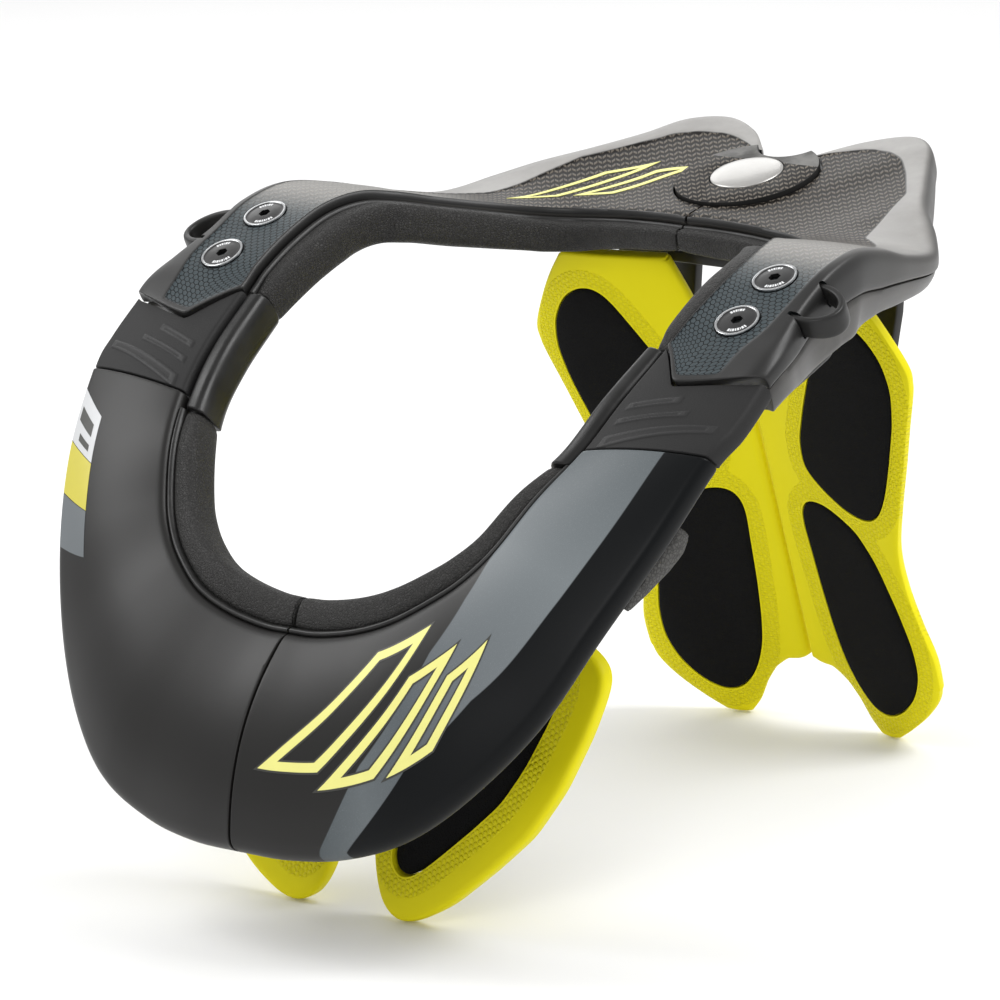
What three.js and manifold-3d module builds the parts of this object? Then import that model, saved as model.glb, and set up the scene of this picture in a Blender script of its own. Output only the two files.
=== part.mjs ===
// Motocross neck brace: a two-part protective collar with neck padding, chest pads and a back support.
// Millimetres, +Z up. The wearer faces -Y, and X points to the wearer's left. The tips stand on Z = 0.
import * as THREE from "three";
import { mergeVertices } from "three/addons/utils/BufferGeometryUtils.js";
import Module from "manifold-3d";

const wasm = await Module();
wasm.setup();

// Driving dimensions

const GAP = 0.4; // clearance between pieces that meet
const SEAM = 0.5; // half of the open line where the two collar halves meet

const COLLAR = {
  halfWidth: 146, // from the middle to the outer edge of the arms
  depth: 350, // from the bib's lip to the rear lobes
  height: 230, // from the floor to the shoulder crest
  hubDrop: 7, // from that height down to the top of the hub
  bracketDrop: 37, // and to the bracket that carries the struts
  supportDrop: 38, // and to the top of the back support
};

const BIB = {
  thickness: 8.5, // shell at its edges
  crown: 9, // bulge of the shell over its chord
  lip: 3, // rounding of the outer lip
  flexSink: 0.8, // how far the flexible panel lies below the shell
};

const YOKE = {
  innerWall: 5, // rear frame at the neck side
  wall: 16, // deepest outer side wall
  flare: 16, // widest spread of that wall outside the ridge
  crown: 4, // highest bulge of the top face over a straight line
  nose: 14, // how far the arm's pointed end reaches into the flexible panel
  noseGap: 1, // open line between the two
  lowerOuter: 15, // depth of the lower shell at its outer side
  lowerInner: 12, // and at its neck side
  lowerTuck: 3, // how far its outer side leans in
};

const PAD = {
  width: 15, // roll of neck padding, from the collar's edge towards the neck
  height: 16,
  sink: 1.6, // top of the roll below the collar's edge
  rearSink: 3.4, // and below the rear frame's wall
};

const UNDER_PAD = {
  width: 20, // pad under the bib's outer part
  height: 14,
  from: 6.35, // its lower end, as a place along the bib
  to: 7.3,
};

const SHOULDER_PAD = {
  width: 30, // pad under the arm
  height: 8,
  from: 1.2, // its front end, as a place along the yoke
  to: 5,
  middle: 0.5, // share across the lower shell
};

const HUB = {
  radius: 28,
  y: 108,
  z: COLLAR.height - COLLAR.hubDrop, // top of the hub at its middle
  tilt: 12.5, // degrees that the rear plate leans towards the neck
  thickness: 5,
  badgeRadius: 14,
  badgeHeight: 3.2,
  badgeSeat: 1.4, // depth of the badge's seat
  postRadius: 19,
  notchRadius: 13.5, // scoop at the hub's rear, between the lobes
  notchY: 29.5, // its middle behind the hub's
};

const BOLT = {
  radius: 8.2,
  height: 2.6,
  sink: 1.4, // depth of its seat in the arm
  socket: 2.3, // hex socket, middle to corner
  socketDepth: 1.8,
  upper: { x: 119, y: -31 },
  lower: { x: 120, y: -54.8 },
};

const LOOP = {
  reach: 12, // how far the strap loop stands out of the arm's side
  droop: 2, // and how far it hangs below its ends
  span: 19, // distance of its two ends
  band: 3, // thickness
  width: 9, // height of the band
  depth: 2.5, // how far its ends sit in the arm's side
  row: 3.2, // place along the arm
  drop: 0.36, // place down the side wall
};

const SUPPORT = {
  height: COLLAR.height - COLLAR.supportDrop, // back support, from its tips to the top of its wings
  halfWidth: 89.5,
  footY: 143, // spine channel at the floor, behind the origin
  lean: 0.285, // run towards the neck for each millimetre of rise
  wrap: 13, // how far the sides stand in front of the spine channel
  wrapWidth: 45, // how far from the middle they come forward
  thickness: 6,
  edge: 3, // how far its rear edge is drawn in
  foamDepth: 3.2, // pocket that holds a foam
  foamProud: 1, // foam above the moulding
};

const STRUT = {
  x: 48,
  y: 130, // middle of its upper end behind the origin
  width: 11,
  thickness: 5,
  topZ: COLLAR.height - COLLAR.bracketDrop, // upper face of the bracket that carries both struts
  plate: 4.5, // thickness of that bracket
  footLevel: 0.2, // lower end on the back support, as a share of its height
  bendLevel: 0.42, // where the strut leaves the back support
};

const CHEST = {
  length: 126.5, // pad from its tip to its upper end
  heading: 52, // degrees that the pad's long axis rises, seen from the front
  width: 60,
  tipX: 24,
  tipY: -141,
  lean: 0.257, // run towards the neck for each millimetre of rise
  thickness: 7,
  border: 17.5, // yellow border round the inset, at its outer side
  innerBorder: 12, // and at its other side
  endBorder: 13,
  insetSink: 1.2, // inset below the border
  armWidth: 18, // bar that carries the pad under the bib
  armThickness: 6,
  armRow: 6.3, // its place along the bib
  armFoot: 0.66, // its place along the pad
};

// Tables: places are shares of the collar's half width, depth and height

// Bib and flexible panel, from the front seam to the arm. Crown is a share of the bib's.
const BIB_ROWS = [
  { inX: 0.0, inY: -0.472, inZ: 0.477, outX: 0.0, outY: -0.574, outZ: 0.176, crown: 1.0 },
  { inX: 0.085, inY: -0.471, inZ: 0.478, outX: 0.151, outY: -0.569, outZ: 0.175, crown: 1.0 },
  { inX: 0.201, inY: -0.469, inZ: 0.491, outX: 0.312, outY: -0.558, outZ: 0.187, crown: 0.95 },
  { inX: 0.308, inY: -0.462, inZ: 0.514, outX: 0.479, outY: -0.543, outZ: 0.227, crown: 0.85 },
  { inX: 0.397, inY: -0.446, inZ: 0.546, outX: 0.618, outY: -0.514, outZ: 0.296, crown: 0.75 },
  { inX: 0.466, inY: -0.427, inZ: 0.579, outX: 0.749, outY: -0.471, outZ: 0.398, crown: 0.6 },
  { inX: 0.524, inY: -0.403, inZ: 0.624, outX: 0.851, outY: -0.422, outZ: 0.53, crown: 0.45 },
  { inX: 0.584, inY: -0.365, inZ: 0.696, outX: 0.935, outY: -0.361, outZ: 0.655, crown: 0.35 },
  { inX: 0.634, inY: -0.315, inZ: 0.759, outX: 0.981, outY: -0.296, outZ: 0.768, crown: 0.3 },
  { inX: 0.658, inY: -0.263, inZ: 0.822, outX: 1.0, outY: -0.257, outZ: 0.809, crown: 0.25 },
  { inX: 0.674, inY: -0.194, inZ: 0.887, outX: 1.0, outY: -0.205, outZ: 0.865, crown: 0.2 },
];
const SHELL_END = 8; // row where the shell meets the flexible panel
const FLEX_END = 10;

// Arm and rear plate, from before the arm's pointed end to the hub. Out is the ridge of the top face.
// Flare, wall and crown are shares of the yoke's, lower of the lower shell's depths.
// Ease bends a row so that it follows the seam first.
const YOKE_ROWS = [
  { inX: 0.663, inY: -0.253, inZ: 0.848, outX: 0.882, outY: -0.255, outZ: 0.832, flare: 1.0, wall: 0.45, crown: 0.1, ease: 1, lower: 0.8 },
  { inX: 0.674, inY: -0.194, inZ: 0.889, outX: 0.897, outY: -0.2, outZ: 0.887, flare: 0.97, wall: 0.55, crown: 0, ease: 1, lower: 0.75 },
  { inX: 0.68, inY: -0.163, inZ: 0.919, outX: 0.92, outY: -0.162, outZ: 0.916, flare: 0.6, wall: 0.7, crown: 0, ease: 1, lower: 0.85 },
  { inX: 0.682, inY: -0.114, inZ: 0.954, outX: 0.921, outY: -0.118, outZ: 0.946, flare: 0.36, wall: 0.8, crown: 0, ease: 1, lower: 1.0 },
  { inX: 0.675, inY: -0.06, inZ: 0.982, outX: 0.918, outY: -0.066, outZ: 0.98, flare: 0.3, wall: 0.95, crown: 0, ease: 1, lower: 1.0 },
  { inX: 0.648, inY: -0.013, inZ: 0.992, outX: 0.907, outY: -0.01, outZ: 0.993, flare: 0.26, wall: 1.0, crown: 0.1, ease: 1, lower: 0.97 },
  { inX: 0.603, inY: 0.024, inZ: 0.984, outX: 0.877, outY: 0.052, outZ: 0.976, flare: 0.24, wall: 0.9, crown: 0.2, ease: 1, lower: 0.7 },
  { inX: 0.562, inY: 0.071, inZ: 0.965, outX: 0.842, outY: 0.109, outZ: 0.949, flare: 0.27, wall: 0.62, crown: 0.2, ease: 1, lower: 0.6 },
  { inX: 0.5, inY: 0.123, inZ: 0.945, outX: 0.775, outY: 0.182, outZ: 0.929, flare: 0.36, wall: 0.52, crown: 0.2, ease: 1, lower: 0.42 },
  { inX: 0.432, inY: 0.16, inZ: 0.931, outX: 0.675, outY: 0.229, outZ: 0.947, flare: 0.45, wall: 0.85, crown: 0, ease: 1, lower: 0.34 },
  { inX: 0.356, inY: 0.183, inZ: 0.925, outX: 0.6, outY: 0.27, outZ: 0.965, flare: 0.3, wall: 0.85, crown: -0.1, ease: 1, lower: 0.32 },
  { inX: 0.28, inY: 0.192, inZ: 0.926, outX: 0.53, outY: 0.316, outZ: 0.977, flare: 0.27, wall: 0.85, crown: -0.3, ease: 1, lower: 0.3 },
  { inX: 0.212, inY: 0.195, inZ: 0.928, outX: 0.453, outY: 0.368, outZ: 0.992, flare: 0.25, wall: 0.8, crown: -0.4, ease: 1.2, lower: 0.3 },
  { inX: 0.144, inY: 0.197, inZ: 0.929, outX: 0.385, outY: 0.411, outZ: 1.009, flare: 0.22, wall: 0.8, crown: -0.4, ease: 1.5, lower: 0.3 },
  { inX: 0.082, inY: 0.197, inZ: 0.93, outX: 0.29, outY: 0.435, outZ: 1.011, flare: 0.18, wall: 0.75, crown: -0.3, ease: 2, lower: 0.3 },
  { inX: 0.034, inY: 0.197, inZ: 0.93, outX: 0.18, outY: 0.42, outZ: 1.0, flare: 0.1, wall: 0.7, crown: -0.1, ease: 2.8, lower: 0.3 },
  { inX: 0.0, inY: 0.197, inZ: 0.93, outX: 0.089, outY: 0.386, outZ: 0.983, flare: 0.05, wall: 0.6, crown: 0, ease: 3.6, lower: 0.3 },
];
const ARM_START = 1; // row at the arm's inner corner

// Size of the padding roll along the collar, as shares of the pad's width and height
const PAD_ROWS = [
  { at: 0.0, width: 0.96, height: 1.0 },
  { at: 0.12, width: 0.9, height: 1.0 },
  { at: 0.22, width: 0.76, height: 1.0 },
  { at: 0.32, width: 0.66, height: 1.0 },
  { at: 0.4, width: 0.6, height: 1.0 },
  { at: 0.5, width: 0.85, height: 1.05 },
  { at: 0.65, width: 0.7, height: 0.95 },
  { at: 0.8, width: 0.5, height: 0.7 },
  { at: 1.0, width: 0.42, height: 0.58 },
];

// Size of the pads under the bib and under the arm along their length, as shares of their own
const UNDER_PAD_ROWS = [
  { at: 0.0, width: 0.35, height: 0.3 },
  { at: 0.25, width: 0.75, height: 0.65 },
  { at: 0.6, width: 1.0, height: 0.95 },
  { at: 0.85, width: 1.0, height: 1.0 },
  { at: 1.0, width: 0.6, height: 0.7 },
];

// Outline of half the back support: level is a share of its height, out and in of its half width
const SUPPORT_ROWS = [
  { level: 0.0, inner: 0.35, outer: 0.46 },
  { level: 0.03, inner: 0.29, outer: 0.57 },
  { level: 0.07, inner: 0.24, outer: 0.69 },
  { level: 0.105, inner: 0.18, outer: 0.765 },
  { level: 0.13, inner: 0.1, outer: 0.79 },
  { level: 0.142, inner: 0.0, outer: 0.8 },
  { level: 0.2, inner: 0.0, outer: 0.8 },
  { level: 0.27, inner: 0.0, outer: 0.76 },
  { level: 0.35, inner: 0.0, outer: 0.728 },
  { level: 0.43, inner: 0.0, outer: 0.73 },
  { level: 0.52, inner: 0.0, outer: 0.79 },
  { level: 0.62, inner: 0.0, outer: 0.87 },
  { level: 0.7, inner: 0.0, outer: 0.93 },
  { level: 0.77, inner: 0.0, outer: 0.985 },
  { level: 0.8, inner: 0.07, outer: 1.0 },
  { level: 0.83, inner: 0.115, outer: 1.0 },
  { level: 0.875, inner: 0.15, outer: 0.955 },
  { level: 0.94, inner: 0.2, outer: 0.87 },
  { level: 1.0, inner: 0.25, outer: 0.77 },
];

// Outlines of the foams in the back support, in the same shares
const UPPER_FOAM_ROWS = [
  { level: 0.49, inner: 0.56, outer: 0.6 },
  { level: 0.505, inner: 0.45, outer: 0.65 },
  { level: 0.54, inner: 0.33, outer: 0.7 },
  { level: 0.58, inner: 0.24, outer: 0.74 },
  { level: 0.64, inner: 0.25, outer: 0.79 },
  { level: 0.72, inner: 0.33, outer: 0.85 },
  { level: 0.79, inner: 0.41, outer: 0.88 },
  { level: 0.85, inner: 0.49, outer: 0.86 },
  { level: 0.9, inner: 0.56, outer: 0.79 },
  { level: 0.925, inner: 0.62, outer: 0.7 },
];
const LOWER_FOAM_ROWS = [
  { level: 0.052, inner: 0.39, outer: 0.46 },
  { level: 0.07, inner: 0.33, outer: 0.54 },
  { level: 0.11, inner: 0.27, outer: 0.63 },
  { level: 0.16, inner: 0.225, outer: 0.68 },
  { level: 0.22, inner: 0.2, outer: 0.68 },
  { level: 0.3, inner: 0.18, outer: 0.64 },
  { level: 0.4, inner: 0.165, outer: 0.57 },
  { level: 0.46, inner: 0.155, outer: 0.49 },
  { level: 0.49, inner: 0.165, outer: 0.38 },
  { level: 0.505, inner: 0.2, outer: 0.3 },
];

// Outline of a chest pad along its long axis: left and right are shares of its width
const CHEST_ROWS = [
  { at: 0.0, left: -0.2, right: -0.06 },
  { at: 0.03, left: -0.32, right: 0.03 },
  { at: 0.08, left: -0.46, right: 0.1 },
  { at: 0.17, left: -0.6, right: 0.18 },
  { at: 0.34, left: -0.7, right: 0.26 },
  { at: 0.5, left: -0.74, right: 0.315 },
  { at: 0.66, left: -0.72, right: 0.29 },
  { at: 0.83, left: -0.6, right: 0.2 },
  { at: 0.93, left: -0.46, right: 0.12 },
  { at: 0.98, left: -0.27, right: 0.07 },
  { at: 1.0, left: -0.12, right: 0.0 },
];

// Materials

const material = (color, roughness, metalness = 0) =>
  new THREE.MeshStandardMaterial({ color, roughness, metalness });

const FINISH = {
  satinShell: material(0x1b1c1e, 0.45),
  rubber: material(0x151515, 0.6),
  carbon: material(0x37342f, 0.35, 0.1),
  greyShell: material(0x6e6b66, 0.5),
  padding: material(0x2e2d2b, 0.85),
  yellow: material(0xd9e021, 0.55),
  foam: material(0x131313, 0.9),
  screw: material(0x202020, 0.3, 0.6),
  badge: material(0xd8d6d2, 0.2, 0.7),
};

// Geometry helpers

const vec = (x, y, z) => new THREE.Vector3(x, y, z);
const mix = THREE.MathUtils.lerp;

/** Value of a numeric column of a table at a fractional row, on a smooth curve through the rows. */
function smoothColumn(rows, key, place) {
  const i = Math.min(Math.floor(place), rows.length - 2);
  const t = place - i;
  const at = (k) => rows[Math.min(Math.max(k, 0), rows.length - 1)][key];
  const before = i > 0 ? at(i - 1) : 2 * at(i) - at(i + 1);
  const after = i + 2 < rows.length ? at(i + 2) : 2 * at(i + 1) - at(i);
  const startSlope = (at(i + 1) - before) / 2;
  const endSlope = (after - at(i)) / 2;
  const t2 = t * t;
  const t3 = t2 * t;
  return (
    (2 * t3 - 3 * t2 + 1) * at(i) +
    (t3 - 2 * t2 + t) * startSlope +
    (3 * t2 - 2 * t3) * at(i + 1) +
    (t3 - t2) * endSlope
  );
}

/** Value of a column by its own position column, straight between rows. */
function columnAt(rows, positionKey, key, position) {
  const last = rows.length - 1;
  if (position <= rows[0][positionKey]) return rows[0][key];
  for (let i = 0; i < last; i += 1) {
    const from = rows[i][positionKey];
    const to = rows[i + 1][positionKey];
    if (position <= to) return mix(rows[i][key], rows[i + 1][key], (position - from) / (to - from));
  }
  return rows[last][key];
}

/** Closed geometry between two grids of points with the same rows and columns. */
function slabBetween(top, bottom) {
  const rows = top.length;
  const columns = top[0].length;
  const points = [...top.flat(), ...bottom.flat()];
  const index = [];
  const upper = (r, c) => r * columns + c;
  const lower = (r, c) => rows * columns + r * columns + c;
  const quad = (a, b, c, d) => index.push(a, b, c, a, c, d);
  for (let r = 0; r < rows - 1; r += 1) {
    for (let c = 0; c < columns - 1; c += 1) {
      quad(upper(r, c), upper(r, c + 1), upper(r + 1, c + 1), upper(r + 1, c));
      quad(lower(r, c), lower(r + 1, c), lower(r + 1, c + 1), lower(r, c + 1));
    }
    quad(upper(r, 0), upper(r + 1, 0), lower(r + 1, 0), lower(r, 0));
    quad(upper(r + 1, columns - 1), upper(r, columns - 1), lower(r, columns - 1), lower(r + 1, columns - 1));
  }
  for (let c = 0; c < columns - 1; c += 1) {
    quad(upper(0, c + 1), upper(0, c), lower(0, c), lower(0, c + 1));
    quad(upper(rows - 1, c), upper(rows - 1, c + 1), lower(rows - 1, c + 1), lower(rows - 1, c));
  }
  return closedGeometry(points, index);
}

/** Closed geometry through loops of points, each loop a ring with the same count. */
function loftLoops(loops) {
  const count = loops[0].length;
  const points = loops.flat();
  const index = [];
  for (let r = 0; r < loops.length - 1; r += 1) {
    for (let c = 0; c < count; c += 1) {
      const a = r * count + c;
      const b = r * count + ((c + 1) % count);
      index.push(a, b, b + count, a, b + count, a + count);
    }
  }
  const last = (loops.length - 1) * count;
  for (let c = 1; c < count - 1; c += 1) {
    index.push(0, c + 1, c);
    index.push(last, last + c, last + c + 1);
  }
  return closedGeometry(points, index);
}

/** Geometry of points and triangles, turned so that its faces point out. */
function closedGeometry(points, index) {
  const geometry = new THREE.BufferGeometry();
  const values = new Float32Array(points.flatMap((p) => [p.x, p.y, p.z]));
  geometry.setAttribute("position", new THREE.BufferAttribute(values, 3));
  let volume = 0;
  for (let i = 0; i < index.length; i += 3) {
    const [a, b, c] = [points[index[i]], points[index[i + 1]], points[index[i + 2]]];
    volume += a.dot(b.clone().cross(c));
  }
  if (volume < 0) {
    for (let i = 0; i < index.length; i += 3) {
      [index[i + 1], index[i + 2]] = [index[i + 2], index[i + 1]];
    }
  }
  geometry.setIndex(index);
  return geometry;
}

/** Solid for cutting and joining, from closed geometry. */
function solidOf(geometry) {
  const bare = geometry.clone();
  bare.deleteAttribute("normal");
  bare.deleteAttribute("uv");
  const merged = mergeVertices(bare, 1e-4);
  return new wasm.Manifold(
    new wasm.Mesh({
      numProp: 3,
      vertProperties: new Float32Array(merged.attributes.position.array),
      triVerts: new Uint32Array(merged.index.array),
    }),
  );
}

/** Geometry of a solid after cuts. */
function geometryOf(solid) {
  const mesh = solid.getMesh();
  const geometry = new THREE.BufferGeometry();
  const values = new Float32Array(mesh.numVert * 3);
  for (let i = 0; i < mesh.numVert; i += 1) {
    values.set(mesh.vertProperties.subarray(i * mesh.numProp, i * mesh.numProp + 3), i * 3);
  }
  geometry.setAttribute("position", new THREE.BufferAttribute(values, 3));
  geometry.setIndex(new THREE.BufferAttribute(new Uint32Array(mesh.triVerts), 1));
  return geometry;
}

/** Copy of a geometry on the other side of the plane X = 0, with its faces still pointing out. */
function mirrored(geometry) {
  const copy = geometry.clone();
  copy.scale(-1, 1, 1);
  const index = copy.index.array.slice();
  for (let i = 0; i < index.length; i += 3) {
    [index[i + 1], index[i + 2]] = [index[i + 2], index[i + 1]];
  }
  copy.setIndex(new THREE.BufferAttribute(index, 1));
  return copy;
}

// Collar surface

/** Frame of a collar row: its two edge points, and unit vectors across, along and away from the body. */
function rowFrame(rows, place) {
  const pick = (side, p) =>
    vec(
      smoothColumn(rows, `${side}X`, p) * COLLAR.halfWidth,
      smoothColumn(rows, `${side}Y`, p) * COLLAR.depth,
      smoothColumn(rows, `${side}Z`, p) * COLLAR.height,
    );
  const step = 0.05;
  const ahead = Math.min(place + step, rows.length - 1);
  const behind = Math.max(place - step, 0);
  const inner = pick("in", place);
  const outer = pick("out", place);
  const across = outer.clone().sub(inner).normalize();
  const middle = (p) => pick("in", p).lerp(pick("out", p), 0.5);
  const along = middle(ahead).sub(middle(behind)).normalize();
  const normal = across.clone().cross(along).normalize();
  return { inner, outer, across, along, normal };
}

// Shares across the bib where its faces have points
const ACROSS = [0, 0.07, 0.25, 0.47, 0.7, 0.9, 1];

/** Points of one bib row, sunk below the shell's face: the top face with its rounded lip, then the underside. */
function bibRow(place, sink = 0) {
  const frame = rowFrame(BIB_ROWS, place);
  const crown = smoothColumn(BIB_ROWS, "crown", place) * BIB.crown;
  const bulge = (t) => crown * 4 * t * (1 - t);
  const at = (t, rise) => frame.inner.clone().lerp(frame.outer, t).addScaledVector(frame.normal, rise);
  const lipAt = (outward, rise) => at(1, rise).addScaledVector(frame.across, BIB.lip * outward);
  const top = ACROSS.map((t) => at(t, bulge(t) - sink - (t === 0 ? BIB.lip / 2 : 0)));
  top.push(lipAt(0.3, -BIB.lip - sink));
  const bottom = ACROSS.map((t) => at(t, bulge(t) * 0.6 - BIB.thickness));
  bottom.push(lipAt(0.2, -BIB.thickness));
  return { top, bottom, frame };
}

/** Places from one row to another in equal steps. */
function places(from, to, steps) {
  return Array.from({ length: steps + 1 }, (_, i) => mix(from, to, i / steps));
}

/** Keeps the points of a grid on the left half, clear of the seam. */
function besideSeam(grid) {
  grid.forEach((row) => row.forEach((p) => p.setX(Math.max(p.x, SEAM))));
  return grid;
}

/** Length of a table's rows at a place, so that a distance can be given as a part of a row. */
function rowLength(rows, place) {
  const step = 0.5;
  const from = rowFrame(rows, Math.max(place - step, 0));
  const to = rowFrame(rows, Math.min(place + step, rows.length - 1));
  return from.inner.lerp(from.outer, 0.5).distanceTo(to.inner.lerp(to.outer, 0.5));
}

// Yoke surface: each column has a share across the top face, then a share out and down the side wall,
// and how much of the pointed end's reach it has
const YOKE_COLUMNS = [
  { across: 0, out: 0, down: 0, point: 0 },
  { across: 0.12, out: 0, down: 0, point: 0.24 },
  { across: 0.3, out: 0, down: 0, point: 0.6 },
  { across: 0.5, out: 0, down: 0, point: 1 },
  { across: 0.76, out: 0, down: 0, point: 0.86 },
  { across: 1, out: 0, down: 0, point: 0.7 },
  { across: 1, out: 0.75, down: 0.06, point: 0.45 },
  { across: 1, out: 1, down: 0.35, point: 0.3 },
  { across: 1, out: 1, down: 1, point: 0.3 },
];
const YOKE_END = YOKE_ROWS.length - 1;

/** Point of the yoke's top face or side wall, and the point of its flat underside below it. */
function yokePoint(place, column) {
  const value = (key) => smoothColumn(YOKE_ROWS, key, place);
  const frame = rowFrame(YOKE_ROWS, place);
  const ease = value("ease");
  const side = (out, down) =>
    frame.outer
      .clone()
      .addScaledVector(frame.across, value("flare") * YOKE.flare * out)
      .addScaledVector(frame.normal, -value("wall") * YOKE.wall * down);
  const t = column.across;
  let top = side(column.out, column.down);
  if (t < 1) {
    const edge = t === 0 ? -1 : 0;
    const rise = value("crown") * YOKE.crown * 4 * t * (1 - t) + edge;
    top = frame.inner.clone().lerp(frame.outer, t);
    top.x = mix(frame.inner.x, frame.outer.x, t ** ease);
    top.addScaledVector(frame.normal, rise);
  }
  const share = YOKE_COLUMNS.indexOf(column) / (YOKE_COLUMNS.length - 1);
  const innerBottom = frame.inner.clone().addScaledVector(frame.normal, -YOKE.innerWall);
  const outerBottom = side(1, 1).addScaledVector(frame.across, -0.5);
  const bottom = innerBottom.clone().lerp(outerBottom, share);
  bottom.x = mix(innerBottom.x, outerBottom.x, share ** ease);
  const lowerDepth = value("lower") * mix(YOKE.lowerInner, YOKE.lowerOuter, share);
  return { top, bottom, frame, lowerDepth };
}

/** Rows of yoke points, from the arm's pointed end to the rear seam. */
function yokeRows(steps, spread = 0, last = YOKE_END) {
  const reach = YOKE.nose / rowLength(YOKE_ROWS, ARM_START);
  const blend = 3;
  return places(ARM_START, last, steps).map((base) => {
    const weight = Math.max(1 - (base - ARM_START) / blend, 0);
    return YOKE_COLUMNS.map((column) => {
      const place = base - (reach * column.point + spread) * weight;
      return yokePoint(Math.max(place, 0), column);
    });
  });
}

// Bib pieces

function frontShell() {
  const openLine = GAP / rowLength(BIB_ROWS, SHELL_END);
  const rows = places(0, SHELL_END - openLine, 15).map((place) => bibRow(place));
  return slabBetween(besideSeam(rows.map((row) => row.top)), besideSeam(rows.map((row) => row.bottom)));
}

function flexPanel() {
  const openLine = GAP / rowLength(BIB_ROWS, SHELL_END);
  const rows = places(SHELL_END + openLine, FLEX_END, 6).map((place) => bibRow(place, BIB.flexSink));
  const panel = slabBetween(
    rows.map((row) => row.top),
    rows.map((row) => row.bottom),
  );
  return geometryOf(solidOf(panel).subtract(solidOf(armCutter())));
}

/** Solid over the arm's pointed end and above and below it, wider by the open line. */
function armCutter() {
  const spread = YOKE.noseGap / rowLength(YOKE_ROWS, ARM_START);
  const rows = yokeRows(4, spread, ARM_START + 1);
  const height = 2 * BIB.thickness + YOKE.lowerOuter;
  const level = (sign) =>
    rows.map((row) => {
      const first = row[0];
      const last = row[row.length - 1];
      const points = row.map((cell) => cell.top.clone());
      points.unshift(first.top.clone().addScaledVector(first.frame.across, -PAD.width));
      points.push(last.top.clone().addScaledVector(last.frame.across, YOKE.flare));
      return points.map((p) => p.addScaledVector(first.frame.normal, sign * height));
    });
  return slabBetween(level(1), level(-1));
}

// Yoke pieces

const YOKE_STEPS = 19;

/** Closed cylinder along the hub's tilted axis, used to cut round the hub. */
function hubCylinder(radius, height, topOffset, segments = 36) {
  const geometry = new THREE.CylinderGeometry(radius, radius, height, segments);
  geometry.translate(0, topOffset - height / 2, 0);
  return onHub(geometry);
}

/** Geometry made round the Y axis, turned and moved to the hub. */
function onHub(geometry) {
  geometry.rotateX(Math.PI / 2 + THREE.MathUtils.degToRad(HUB.tilt));
  geometry.translate(0, HUB.y, HUB.z);
  return geometry;
}

/** Place and direction of a bolt on the arm's top face. */
function boltFrame(bolt) {
  let best = null;
  for (const place of places(ARM_START, ARM_START + 4, 200)) {
    const frame = rowFrame(YOKE_ROWS, place);
    const t = (bolt.x - frame.inner.x) / (frame.outer.x - frame.inner.x);
    const crown = smoothColumn(YOKE_ROWS, "crown", place) * YOKE.crown;
    const p = frame.inner.clone().lerp(frame.outer, t);
    p.addScaledVector(frame.normal, crown * 4 * t * (1 - t));
    const miss = Math.abs(p.y - bolt.y);
    if (!best || miss < best.miss) best = { p, miss, frame };
  }
  const turn = new THREE.Quaternion().setFromUnitVectors(vec(0, 1, 0), best.frame.normal);
  return new THREE.Matrix4().compose(best.p, turn, vec(1, 1, 1));
}

function boltSeat(bolt) {
  const clear = 3 * BOLT.height;
  const radius = BOLT.radius + GAP;
  const geometry = new THREE.CylinderGeometry(radius, radius, clear + BOLT.sink, 24);
  geometry.translate(0, (clear - BOLT.sink) / 2, 0);
  geometry.applyMatrix4(boltFrame(bolt));
  return geometry;
}

function rearFrame() {
  const rows = yokeRows(YOKE_STEPS);
  const slab = slabBetween(
    besideSeam(rows.map((row) => row.map((cell) => cell.top))),
    besideSeam(rows.map((row) => row.map((cell) => cell.bottom))),
  );
  let solid = solidOf(slab).subtract(solidOf(hubCylinder(HUB.radius + GAP, 4 * HUB.radius, HUB.radius)));
  for (const cut of [boltSeat(BOLT.upper), boltSeat(BOLT.lower), ...loopSlots()]) {
    solid = solid.subtract(solidOf(cut));
  }
  return geometryOf(solid);
}

function rearLower() {
  const rows = yokeRows(YOKE_STEPS);
  const under = (cell, depth) => cell.bottom.clone().addScaledVector(cell.frame.normal, -depth);
  const top = rows.map((row) => row.map((cell) => under(cell, GAP)));
  const bottom = rows.map((row) =>
    row.map((cell, c) => {
      const tuck = c === row.length - 1 ? -YOKE.lowerTuck : 0;
      return under(cell, GAP + cell.lowerDepth).addScaledVector(cell.frame.across, tuck);
    }),
  );
  const slab = solidOf(slabBetween(besideSeam(top), besideSeam(bottom)));
  const capSpace = hubCylinder(HUB.radius + GAP, HUB.thickness + GAP + HUB.radius, HUB.radius);
  const postSpace = hubCylinder(HUB.postRadius + GAP, 4 * HUB.radius, HUB.radius);
  let solid = slab;
  for (const cut of [capSpace, postSpace, ...loopSlots()]) solid = solid.subtract(solidOf(cut));
  return geometryOf(solid);
}

function bolt(place) {
  const dome = 0.4 * BOLT.height;
  const outline = [
    [0, GAP - BOLT.sink],
    [1, GAP - BOLT.sink],
    [1, 0.4 * dome],
    [0.94, 0.75 * dome],
    [0.5, 0.95 * dome],
    [0, dome],
  ];
  const profile = outline.map(([share, height]) => new THREE.Vector2(share * BOLT.radius, height));
  const disc = new THREE.LatheGeometry(profile, 20);
  const socket = new THREE.CylinderGeometry(BOLT.socket, BOLT.socket, 2 * BOLT.socketDepth, 6);
  socket.translate(0, dome, 0);
  const frame = boltFrame(place);
  disc.applyMatrix4(frame);
  socket.applyMatrix4(frame);
  return geometryOf(solidOf(disc).subtract(solidOf(socket)));
}

// Strap loop

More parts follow.
